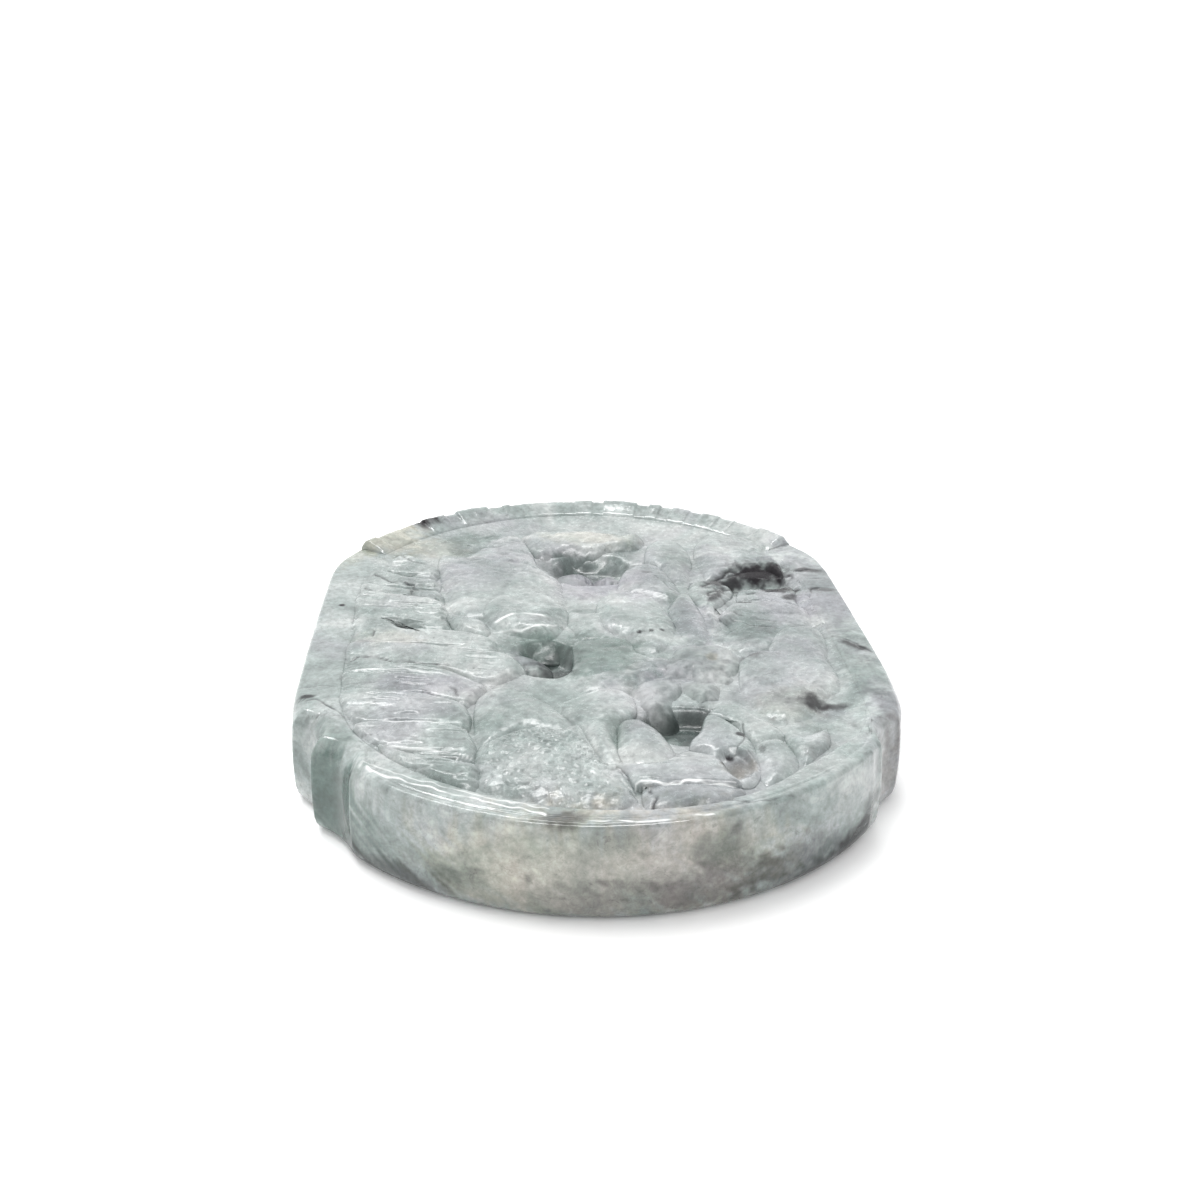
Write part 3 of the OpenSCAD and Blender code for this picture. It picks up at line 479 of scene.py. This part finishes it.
def disc_net(rows, columns, bunch):
    """A square net squeezed into a disc: each point's share of the way out, its turn, and how far it lies
    towards the far side. Bunch above 1 packs the net towards the edge."""
    u, v = np.meshgrid(np.linspace(-1, 1, columns), np.linspace(-1, 1, rows))
    disc_x, disc_y = u * np.sqrt(1 - v * v / 2), v * np.sqrt(1 - u * u / 2)
    out = 1 - (1 - np.clip(np.hypot(disc_x, disc_y), 0, 1)) ** bunch
    return out, np.arctan2(disc_y, disc_x), disc_y


def form(name, plan, rise, material, far=(0.45, 0.3), near=(1.7, 0.75), crown=0.2, lean=(0, 0.03),
         centre=None, detail=None, stands_for=None):
    """A carved form: a net squeezed into the plan's outline, which is kept inside the field. Its height is a
    plateau that stands at its rise above the rim, leans and crowns a little, less its edge's fall, plus its
    own detail and the stone's unevenness. Far and near are the fall's width and drop at those sides, blended
    between: a quarter round at the far side, so that it stands crisp there, and a hollow slope at the near
    one. A wall closes it down to its foot, and a face under."""
    edge = closed_curve(plan)
    limit = field_reach(np.arctan2(edge[:, 1], edge[:, 0])) - 0.02
    edge = edge * np.minimum(1, limit / np.hypot(*edge.T))[:, None]
    centre = (edge.min(0) + edge.max(0)) / 2 if centre is None else np.array(centre)
    size = np.ptp(edge, axis=0)
    rel = edge - centre
    bearing = np.arctan2(rel[:, 1], rel[:, 0])
    order = np.argsort(bearing)
    out, turn, farness = disc_net(int(size[1] / MESH_STEP) + 12, int(size[0] / MESH_STEP) + 12,
                                   EDGE_BUNCH)
    reach = np.interp(turn, bearing[order], np.hypot(*rel[order].T), period=2 * np.pi)
    x = centre[0] + out * reach * np.cos(turn)
    y = centre[1] + out * reach * np.sin(turn)
    inside = line_distance(x, y, np.vstack([edge, edge[:1]]))
    share = smooth(0.5 + 0.6 * farness)
    width = near[0] + (far[0] - near[0]) * share
    drop = near[1] + (far[1] - near[1]) * share
    t = np.clip(inside / width, 0, 1)
    fall = share * (1 - np.sqrt(1 - (1 - t) ** 2)) + (1 - share) * (1 - t) ** 1.8
    z = RIM_Z + rise + lean[0] * (x - centre[0]) + lean[1] * (y - centre[1]) - crown * out**2
    z = z - drop * fall + chisel(x, y) - 0.14 * cracks(x, y)
    if detail is not None:
        z = z + detail(x, y) * smooth(inside / 0.5)
    return block(name, x, y, z, material, stands_for or name)


def soft_min(a, b, blend):
    """The smaller of two lengths, with the corner between them rounded over the blend."""
    h = np.clip(0.5 + 0.5 * (b - a) / blend, 0, 1)
    return b * (1 - h) + a * h - blend * h * (1 - h)


def end_and_side_reach(turn, shift, end_r, side_w, blend):
    """Distance from the middle to an outline of two end arcs and two bowed sides, along each turn."""
    c, s = np.cos(turn), np.sin(turn)
    dot = shift * c + END_Y * np.abs(s)
    end = dot + np.sqrt(dot**2 - shift**2 - END_Y**2 + end_r**2)
    back = SIDE_R - side_w
    side = -np.abs(c) * back + np.sqrt((c * back) ** 2 - back**2 + SIDE_R**2)
    return soft_min(end, side, blend)


def outer_reach(turn):
    """Reach of the stone's own outline."""
    return end_and_side_reach(turn, 0, END_R, HALF_W, OUTER_CORNER)


def field_reach(turn):
    """Reach of the sunk field: its near arc is set over a little, its far one is not."""
    near = end_and_side_reach(turn, FIELD_SHIFT, END_R - RIM_PLAIN, HALF_W - RIM_SIDE, FIELD_CORNER)
    far = end_and_side_reach(turn, 0, END_R - RIM_CREST, HALF_W - RIM_SIDE, FIELD_CORNER)
    return np.where(np.sin(turn) < 0, near, far)


def near_arc(turn):
    """1 along the near left of the field's edge, where it is stepped down from the rim, and 0 elsewhere."""
    return window(np.degrees(turn), -118, -66, 8)


def far_bank(turn):
    """1 along the crested end, where the field banks up to the rim with no step, and 0 elsewhere."""
    return window(np.degrees(turn), 34, 150, 16)


# Hollows in the field's floor: middle x, y, half lengths, depth
HOLLOWS = [(1.0, 13.2, 4.6, 3.0, 1.6), (-3.5, -4.4, 2.6, 2.8, 1.6), (5.6, -15.2, 2.8, 2.4, 1.35),
           (0.9, -15.8, 0.9, 2.0, 0.9), (14.6, 8.6, 3.6, 1.7, 0.7), (9.8, 8.4, 0.7, 1.2, 0.5)]


def ground(x, y, turn, edge_distance):
    """The field's floor between the forms: uneven, banked up to the rim, with round-edged hollows."""
    z = GROUND_Z + 0.12 * rough(x, y, 3.4, 5) + 0.06 * rough(x, y, 0.9, 7)
    rim = RIM_Z - 0.14 - 0.5 * near_arc(turn) + 0.09 * far_bank(turn)
    reach = 1.1 + 3.6 * far_bank(turn)
    z = z + (rim - z) * np.exp(-((edge_distance / reach) ** 2))
    for hx, hy, rx, ry, depth in HOLLOWS:
        away = np.hypot((x - hx) / rx, (y - hy) / ry) + 0.12 * noise(x, y, 1.3, 9)
        z = z - depth * smooth((1.2 - away) / 0.6)
    return z


def slab(material):
    """The slab: rings round the middle, out along the underside, up the bowed wall, over the rim, where a
    shallow groove follows the edge at the near end, and down into the field to a flat bottom. The bites lessen
    a ring's reach by half a sine."""
    count = 1300
    turn = np.linspace(-np.pi, np.pi, count, endpoint=False)
    outer, field = outer_reach(turn), field_reach(turn)
    bite = np.zeros(count)
    for degrees, start, end, depth in BITES:
        along = np.radians(np.degrees(turn) - degrees) * outer
        share = np.clip((along - start) / (end - start), 0, 1)
        bite = bite + depth * np.sin(np.pi * share) ** 0.9
    rings = [(share * (outer - 0.9), 0) for share in (0.05, 0.35, 0.7, 0.98)]
    soft = 0.42 + 1.1 * window(np.degrees(turn), -152, -126, 10) + 0.5 * window(np.degrees(turn), -46, -24, 8)

    def proud(z):
        """How far the bowed wall stands in from the outline at a height."""
        return -0.3 * ((z - 2.8) / 3.8) ** 2

    for z, inward in ((0.02, 0.75), (0.1, 0.5), (0.3, 0.25), (0.65, 0.08)):
        rings.append((outer + proud(z) - inward - bite * 0.5, z))
    for share in np.linspace(0, 1, 22):
        z = 1.1 + share * (RIM_Z - soft - 1.1)
        fade = 0.55 + 0.45 * smooth(z / 3.5)
        rings.append((outer + proud(z) - bite * fade, z))
    brow = rings[-1][0]
    for inward, down in ((0.03, 0.72), (0.12, 0.5), (0.3, 0.3), (0.5, 0.12), (0.72, 0.03), (1, 0)):
        rings.append((brow - inward * soft, RIM_Z - down * soft))
    top_out = brow - soft
    double = 0.07 * window(np.degrees(turn), -132, -58, 10)
    for share in np.linspace(0, 1, 33)[1:]:
        groove = double * np.exp(-((((top_out - field) * share - 0.34) / 0.13) ** 2))
        rings.append((top_out + (field - top_out) * share, RIM_Z - 0.05 * share**2 - groove))
    deep = 0.1 + 0.66 * near_arc(turn) - 0.09 * far_bank(turn)
    for step, sink in ((0.06, 0.2), (0.14, 0.7), (0.22, 1.0)):
        rings.append((field - step, RIM_Z - 0.05 - sink * deep))
    rings += [(field - 0.3, FLOOR_Z), (field * 0.5, FLOOR_Z)]
    reach = np.array([r for r, z in rings])
    z = np.array([z * np.ones(count) for r, z in rings])
    x, y = reach * np.cos(turn), reach * np.sin(turn)
    uneven = 0.035 * rough(x + 0.6 * z, y + 0.6 * z, 2.6, 31) + 0.02 * rough(x, y, 0.8, 33) - 0.1 * cracks(x, y)
    z = z + np.where(z > 5.5, uneven, 0)
    points = np.column_stack([x.ravel(), y.ravel(), z.ravel()])
    index = np.arange(len(points)).reshape(x.shape)
    poles = np.array([[0, 0, 0], [0, 0, FLOOR_Z]])
    under, over = len(points), len(points) + 1
    ring = np.arange(count)
    nxt = np.roll(ring, -1)
    faces = [quad[::-1] for quad in net_faces(index, wrap=True)]
    faces += [[under, int(index[0, b]), int(index[0, a])] for a, b in zip(ring, nxt)]
    faces += [[over, int(index[-1, a]), int(index[-1, b])] for a, b in zip(ring, nxt)]
    return new_piece("slab", np.vstack([points, poles]), faces, material, "plaque_body")


def field_floor(material):
    """The field's floor: a net squeezed into the field's outline, with the ground's height. It reaches a
    little way into the rim, and its border dips there."""
    out, turn, _ = disc_net(330, 270, 1.0)
    reach = (field_reach(turn) + 0.15) * out
    x, y = reach * np.cos(turn), reach * np.sin(turn)
    z = ground(x, y, turn, field_reach(turn) - reach) - 0.1 * cracks(x, y) - 0.15 * (out > 0.999)
    return block("field_floor", x, y, z, material, "plaque_body")


def crest(material):
    """The cut lumps on the far rim: a closed section carried along the end arc, its top raised a little more
    over each lump and falling away gently towards the field."""
    x = np.linspace(-CREST_REACH, CREST_REACH, 620)
    rise = 0.05 + 0.5 * smooth((CREST_REACH - np.abs(x)) / 1.5)
    for start, end, share in CREST_BLOCKS:
        body = smooth((x - start) / 0.45) * smooth((end - x) / 0.6)
        rise = np.maximum(rise, body * (0.52 + 0.3 * share + 0.06 * noise(x, x * 0, 2.3, 57)))
    arc = END_R - CREST_SECTION[None, :, 0]
    bearing = np.arcsin(x / END_R)[:, None]
    px = arc * np.sin(bearing)
    py = END_Y + arc * np.cos(bearing)
    side = CREST_SECTION[None, :, 1]
    lift = np.where(side > 0, side * rise[:, None], side)
    pz = RIM_Z - 0.03 + lift + 0.07 * rough(px, py, 0.8, 61) * (side > 0.3)
    points = np.column_stack([px.ravel(), py.ravel(), pz.ravel()])
    index = np.arange(len(points)).reshape(px.shape)
    faces = net_faces(index, wrap=True) + [index[0, ::-1].tolist(), index[-1].tolist()]
    return new_piece("crest_lumps", points, faces, material, "crest")


def near_bank(material):
    """The smooth bank inside the rim at the near right: a strip that follows the field's edge, widest midway."""
    turn = np.radians(np.linspace(-74, -38, 260))[None, :]
    share = np.linspace(-0.15, 1, 26)[:, None]
    middle = smooth((turn - turn.min()) / 0.3) * smooth((turn.max() - turn) / 0.25)
    width = 0.35 + 1.5 * middle
    reach = field_reach(turn) - 0.1 - share * width
    x, y = reach * np.cos(turn), reach * np.sin(turn)
    z = RIM_Z - 0.1 - 0.12 * share**2 - 0.5 * smooth((share - 0.6) / 0.4) + 0.4 * chisel(x, y)
    return block("near_bank", x[:, ::-1], y[:, ::-1], z[:, ::-1], material, "near_bank")


# ---------------------------------------------------------------- materials

def linear(code):
    """An sRGB hex colour as linear red, green, blue and 1."""
    parts = [int(code[i:i + 2], 16) / 255 for i in (1, 3, 5)]
    return [p / 12.92 if p <= 0.04045 else ((p + 0.055) / 1.055) ** 2.4 for p in parts] + [1.0]


def node(tree, kind, links=None, **settings):
    """Adds a node. A setting named in_NAME goes to the input NAME, the rest to the node; links feed inputs."""
    made = tree.nodes.new(kind)
    for key, value in settings.items():
        if not key.startswith("in_"):
            setattr(made, key, value)
    for key, value in settings.items():
        if key.startswith("in_"):
            name = key[3:]
            made.inputs[int(name) if name.isdigit() else name.replace("_", " ")].default_value = value
    for key, source in (links or {}).items():
        tree.links.new(source, made.inputs[key])
    return made


def ramp_stops(made, stops):
    """Sets a colour ramp's stops from pairs of place and hex colour."""
    ramp = made.color_ramp
    while len(ramp.elements) < len(stops):
        ramp.elements.new(1.0)
    for element, (place, code) in zip(ramp.elements, stops):
        element.position = place
        element.color = linear(code)


def blend(tree, factor, below, above):
    """Mixes two colours by a factor: above may be a socket or a hex colour."""
    made = node(tree, "ShaderNodeMix", {0: factor, 6: below}, data_type="RGBA")
    if isinstance(above, str):
        made.inputs[7].default_value = linear(above)
    else:
        tree.links.new(above, made.inputs[7])
    return made.outputs[2]


# Colours of the stone: its clouds from deep to pale, the lilac in it, what each coloured patch multiplies them
# by, and
#  the dark patches' and the pale lines' own. In some hollows the dark and green patches are painted shade; the
#  pale lines are painted highlights.
CLOUD_COLOURS = [(0.3, "#75827f"), (0.42, "#929e9b"), (0.54, "#aab2b0"), (0.68, "#c4c8c6")]
LILAC = "#a5a3ab"
LILAC_WASH = (0.74, 0.7, 0.77)
GREEN_WASH = (0.3, 0.41, 0.37)
CREAM_WASH = (1.12, 1.0, 0.85)
DARK = "#1f1d20"
PAINTED_HIGHLIGHT = "#f4f6f5"


def jade(name, paleness_and_painted_light, roughness, grain_depth):
    """Jadeite, sawn, carved and polished. Clouds of blue-green some 6 mm wide and lilac ones wider still make
    it look like one stone right through; a felt of pale grains about half a millimetre across gives the sugary
    sparkle; thin grey veins and pinches of grey specks cross it; stains and cracks sit where they are in the
    stone, the dark ones dull, as they take no polish; dark patches in some hollows are painted shade, dulled the
    same way, and green ones there partly so; thin pale lines on the brows are painted highlights; and light
    sinks in half a millimetre, which softens every edge. The number after the name scales how pale the stone is;
    the copy for the slab and crest is a little paler than the carved one, painted light that brightens the
    walls."""
    material = bpy.data.materials.new(name)
    material.use_nodes = True
    tree = material.node_tree
    tree.nodes.clear()
    place = node(tree, "ShaderNodeTexCoord").outputs["Object"]

    def cloud(size, detail, distortion, share=0.6):
        """Layered noise with features of a size in millimetres."""
        made = node(tree, "ShaderNodeTexNoise", {"Vector": place}, in_Scale=1 / (size * MM), in_Detail=detail,
                    in_Roughness=share, in_Distortion=distortion)
        return made.outputs["Fac"]

    def scaled(value, low, high, out_low, out_high):
        """Carries the span from low to high onto the one from out_low to out_high."""
        made = node(tree, "ShaderNodeMapRange", {"Value": value}, in_1=low, in_2=high, in_3=out_low,
                    in_4=out_high)
        return made.outputs["Result"]

    def times(colour, factor):
        """Multiplies a colour by a fixed colour or by a socket's value."""
        made = node(tree, "ShaderNodeVectorMath", {0: colour}, operation="MULTIPLY")
        if isinstance(factor, tuple):
            made.inputs[1].default_value = factor
        else:
            tree.links.new(factor, made.inputs[1])
        return made.outputs[0]

    def colour_patch(kind):
        """How strongly a kind of patch covers the surface: stains, painted shade and painted highlights alike.
        """
        return node(tree, "ShaderNodeAttribute", attribute_name=kind).outputs["Fac"]

    tint = node(tree, "ShaderNodeValToRGB", {"Fac": cloud(5.5, 7, 0.7)})
    ramp_stops(tint, CLOUD_COLOURS)
    lilac = scaled(cloud(9, 3, 0.4), 0.5, 0.66, 0, 0.45)
    colour = blend(tree, lilac, tint.outputs["Color"], LILAC)
    fine = cloud(0.5, 4, 0.2, 0.7)
    colour = times(colour, scaled(fine, 0.3, 0.7, 0.74 * paleness_and_painted_light, 1.26 * paleness_and_painted_light))
    colour = times(colour, scaled(cloud(1.9, 3, 0.5), 0.3, 0.7, 0.8, 1.18))
    colour = times(colour, scaled(cloud(0.8, 5, 0.8, 0.75), 0.6, 0.7, 1, 0.62))
    ridge = node(tree, "ShaderNodeMath", {0: cloud(7, 4, 1.6)}, operation="SUBTRACT", in_1=0.5)
    ridge = node(tree, "ShaderNodeMath", {0: ridge.outputs[0]}, operation="ABSOLUTE")
    colour = times(colour, scaled(ridge.outputs[0], 0, 0.014, 0.87, 1))
    colour = blend(tree, colour_patch("lilac"), colour, times(colour, LILAC_WASH))
    # The green wash: the stone's green, deepened into painted shade in some hollows
    colour = blend(tree, colour_patch("green"), colour, times(colour, GREEN_WASH))
    colour = blend(tree, colour_patch("cream"), colour, times(colour, CREAM_WASH))
    # Dark stains and cracks, and the painted shade in some hollows, in one near-black colour
    colour = blend(tree, colour_patch("dark"), colour, DARK)
    # Painted highlights: the thin pale lines on the brows, in near-white
    colour = blend(tree, colour_patch("painted_highlight"), colour, PAINTED_HIGHLIGHT)
    bump = node(tree, "ShaderNodeBump", {"Height": fine}, in_Strength=0.3, in_Distance=grain_depth * MM)
    gloss = scaled(fine, 0.3, 0.7, roughness - 0.06, roughness + 0.1)
    shader = node(tree, "ShaderNodeBsdfPrincipled", {"Base Color": colour, "Normal": bump.outputs["Normal"],
                                                     "Roughness": gloss}, in_IOR=1.65)
    # Polish dulled under the dark patches, as stains take no polish; where the dark is painted shade this dims
    # the reflection too.
    dull = scaled(colour_patch("dark"), 0, 1, 0.5, 0.08)
    tree.links.new(dull, shader.inputs["Specular IOR Level"])
    shader.inputs["Subsurface Weight"].default_value = 0.18
    shader.inputs["Subsurface Radius"].default_value = (0.9, 1.0, 0.95)
    shader.inputs["Subsurface Scale"].default_value = 0.6 * MM
    node(tree, "ShaderNodeOutputMaterial", {"Surface": shader.outputs[0]})
    return material


# The slab's copy is a little paler than the carving's: painted light that brightens its walls.
wall_jade = jade("polished_jadeite_slab", 0.71, 0.14, 0.03)
carved_jade = jade("polished_jadeite_carved", 0.68, 0.22, 0.06)
grainy_jade = jade("worn_jadeite_grainy", 0.6, 0.36, 0.12)


# ---------------------------------------------------------------- the plaque

slab(wall_jade)
field_floor(carved_jade)
crest(wall_jade)

form("far_bank", FAR_BANK, -0.25, carved_jade, far=(2.6, 0.5), near=(2.2, 0.5),
     detail=lambda x, y: striations(x, y, 40, 1.7, 0.16, 71))
form("corner_boss", CORNER_BOSS, 0, carved_jade, far=(1.4, 0.4), near=(1.4, 0.5),
     detail=lambda x, y: striations(x, y, 80, 2.1, 0.1, 73))

for i, plan in enumerate(PLUMES):
    form(f"plume_{i + 1}", plan, 0.08, carved_jade, far=(0.4, 0.2), near=(1.2, 0.9), crown=0.1,
         lean=(0, 0.09), detail=lambda x, y, i=i: striations(x, y, -6, 0.8, 0.12, 80 + i))

form("crag", CRAG, 0.2, carved_jade, far=(1.2, 0.5), near=(1.6, 1.7), crown=0.1,
     detail=lambda x, y: 0.2 * rough(x, y, 1.6, 101))
form("neck", NECK, 0.15, carved_jade, far=(0.7, 0.5), near=(2.4, 0.9), crown=0.25,
     detail=lambda x, y: striations(x, y, -28, 1.1, 0.08, 103) * smooth((y - 8) / 4))
form("breast", BREAST, 0.3, carved_jade, far=(0.9, 0.35), near=(4.2, 2.0), crown=0.15)
for i, plan in enumerate(STALKS):
    form(f"stalk_{i + 1}", plan, -0.6, grainy_jade, far=(2.4, 0.8), near=(1.3, 0.8),
         lean=(0, -0.07), detail=lambda x, y, i=i: striations(x, y, 84, 0.85, 0.34, 105 + i))
form("bridge", BRIDGE, -0.25, carved_jade, far=(0.6, 0.4), near=(1.3, 0.8), lean=(0, 0.08))
form("flank", FLANK, -0.1, carved_jade, far=(0.5, 0.3), near=(2.4, 0.5), lean=(0, 0),
     detail=lambda x, y: striations(x, y, 12, 1.9, 0.12, 107))
form("ribbon", RIBBON, -0.2, carved_jade, far=(0.8, 0.4), near=(1.4, 0.6))
form("side_panel", SIDE_PANEL, -0.25, carved_jade, far=(0.8, 0.4), near=(1.2, 0.5),
     centre=(10.6, 4.4))
for i, plan in enumerate(ROCKS):
    form(f"rock_{i + 1}", plan, -0.1 if i < 3 else -0.7, grainy_jade, far=(1.3, 0.4),
         near=(2.2, 1.7 if i in (1, 2) else 0.6), detail=lambda x, y, i=i: 0.28 * rough(x, y, 1.2, 110 + i))
for i, plan in enumerate(CLOUDS):
    form(f"cloud_{i + 1}", plan, 0.1 if i < 4 else -0.05, carved_jade, far=(0.7, 0.4),
         near=(2.6, 0.7), crown=0.2, lean=(0, 0.04))
form("cloud_5_top", CLOUD_5_TOP, 0.1, carved_jade, far=(0.6, 0.3), near=(1.8, 0.5),
     stands_for="cloud_5")
form("cloud_5_lobe", CLOUD_5_LOBE, 0.15, carved_jade, far=(0.7, 0.35), near=(1.6, 0.5),
     stands_for="cloud_5")
form("cloud_6_lobe", CLOUD_6_LOBE, 0.1, carved_jade, far=(0.7, 0.35), near=(1.6, 0.5),
     stands_for="cloud_6")
form("knob", KNOB, 0.2, grainy_jade, far=(0.6, 0.5), near=(0.8, 0.9),
     detail=lambda x, y: 0.22 * rough(x, y, 0.7, 121))
form("ledge", LEDGE, -0.15, carved_jade, far=(0.4, 0.25), near=(1.2, 0.9))
form("leaf_1", LEAVES[0], 0.05, carved_jade, far=(0.5, 0.35), near=(1.2, 0.6))
form("leaf_2", LEAVES[1], 0, carved_jade, far=(0.7, 0.4), near=(1.6, 0.5))
form("leaf_3", LEAVES[2], 0, carved_jade, far=(1.0, 0.5), near=(1.2, 0.25))
form("shoulder", SHOULDER, 0.15, carved_jade, far=(0.8, 0.45), near=(2.4, 0.6))
form("coil", COIL, 0.2, carved_jade, far=(0.9, 0.3), near=(2.4, 0.9), crown=0.3,
     detail=lambda x, y: scales(x, y, (1, -15), 0.8, 0.15, 131) + 0.06 * rough(x, y, 0.5, 133))
form("tail_root", TAIL_ROOT, -0.05, carved_jade, far=(0.5, 0.15), near=(1.3, 0.5))
form("tail_fan", TAIL_FAN, 0.2, carved_jade, far=(0.6, 0.4), near=(0.35, 0.3), lean=(0, -0.04),
     detail=lambda x, y: striations(x, y, -4, 0.7, 0.09, 137))
form("ridge", RIDGE, 0.05, carved_jade, far=(0.5, 0.35), near=(1.2, 0.4))
form("curl", CURL, 0.15, carved_jade, far=(0.6, 0.4), near=(1.2, 0.35),
     detail=lambda x, y: -0.5 * smooth((1.3 - np.hypot((x - 8.1) / 1.1, (y + 21.3) / 1.5)) / 0.5))
near_bank(carved_jade)


# ---------------------------------------------------------------- floor, light and camera

def plain(name, code, roughness):
    """Matt painted board: one soft pale colour, so that the stone's contact shadow is all there is to see."""
    material = bpy.data.materials.new(name)
    material.use_nodes = True
    shader = material.node_tree.nodes["Principled BSDF"]
    shader.inputs["Base Color"].default_value = linear(code)
    shader.inputs["Roughness"].default_value = roughness
    return material


# Radius of the floor and its gap under the plaque, in metres
FLOOR_R = 9
FLOOR_GAP = 0.00002


def floor():
    """A flat disc far wider than the view."""
    turn = np.linspace(0, 2 * np.pi, 64, endpoint=False)
    points = np.column_stack([FLOOR_R * np.cos(turn), FLOOR_R * np.sin(turn), np.full(64, -FLOOR_GAP)])
    mesh = bpy.data.meshes.new("floor")
    mesh.from_pydata(points.tolist(), [], [list(range(64))])
    mesh.materials.append(plain("matt_white_board", "#fcfcfc", 0.9))
    board = bpy.data.objects.new("floor", mesh)
    bpy.context.scene.collection.objects.link(board)


# The camera's place in millimetres; its turns down, right and about its own line, in degrees; and its lens
CAMERA_PLACE = (-6.6, -93.6, 50.6)
CAMERA_TURNS = (23.8, 4.5, 1.0)
LENS_MM = 39


def camera():
    """The view: down on the plain end, turned a little to the right, with a slight roll."""
    pitch, yaw, roll = (math.radians(a) for a in CAMERA_TURNS)
    ahead = np.array([math.sin(yaw) * math.cos(pitch), math.cos(yaw) * math.cos(pitch), -math.sin(pitch)])
    level = np.array([math.cos(yaw), -math.sin(yaw), 0])
    over = np.cross(level, ahead)
    right = level * math.cos(roll) + over * math.sin(roll)
    up = over * math.cos(roll) - level * math.sin(roll)
    lens = bpy.data.cameras.new("view")
    lens.lens, lens.sensor_width, lens.clip_start = LENS_MM, 36, 0.001
    eye = bpy.data.objects.new("view", lens)
    turn = Matrix([[right[k], up[k], -ahead[k]] for k in range(3)])
    eye.location = [c * MM for c in CAMERA_PLACE]
    eye.rotation_euler = turn.to_euler()
    bpy.context.scene.collection.objects.link(eye)
    bpy.context.scene.camera = eye


# The way to the room's bright side, and how bright the front and the rear are
BRIGHT_WAY = (-0.42, 0.91, 0)
FRONT_GLOW, REAR_GLOW = 1.02, 1.42


def studio():
    """Daylight room: brightest behind the plaque and to its left, by the direction light comes from."""
    world = bpy.data.worlds.new("studio")
    world.use_nodes = True
    tree = world.node_tree
    way = node(tree, "ShaderNodeTexCoord").outputs["Generated"]
    rearward = node(tree, "ShaderNodeVectorMath", {0: way}, operation="DOT_PRODUCT", in_1=BRIGHT_WAY)
    behind = node(tree, "ShaderNodeMapRange", {"Value": rearward.outputs["Value"]},
                  interpolation_type="SMOOTHSTEP", in_1=-0.5, in_2=0.8, in_3=FRONT_GLOW, in_4=REAR_GLOW)
    tree.nodes["Background"].inputs["Color"].default_value = linear("#ffffff")
    tree.links.new(behind.outputs["Result"], tree.nodes["Background"].inputs["Strength"])
    bpy.context.scene.world = world


def sun(name, heading, height, width, power):
    """A soft lamp a long way off, from a heading and a height in degrees. It isn't met in the polish."""
    light = bpy.data.lights.new(name, "SUN")
    light.angle = math.radians(width)
    light.energy = power
    lamp = bpy.data.objects.new(name, light)
    lamp.rotation_euler = (math.radians(90 - height), 0, math.radians(180 - heading))
    lamp.visible_glossy = False
    bpy.context.scene.collection.objects.link(lamp)


def softbox(name, place, length, width, power):
    """A long narrow lit panel that faces the plaque and is met only in its polish, as thin bright lines."""
    light = bpy.data.lights.new(name, "AREA")
    light.shape, light.size, light.size_y = "RECTANGLE", length, width
    light.energy = power
    lamp = bpy.data.objects.new(name, light)
    lamp.location = place
    lamp.rotation_euler = (math.atan2(-place[1], place[2]), 0, 0)
    lamp.visible_diffuse = False
    bpy.context.scene.collection.objects.link(lamp)


floor()
studio()
sun("overhead", -30, 65, 40, 2.4)
softbox("front_strip", (0, -0.28, 0.46), 0.4, 0.045, 1.3)
softbox("rear_strip", (-0.1, 0.22, 0.5), 0.3, 0.03, 0.9)
bpy.context.scene.view_settings.view_transform = "Standard"
camera()
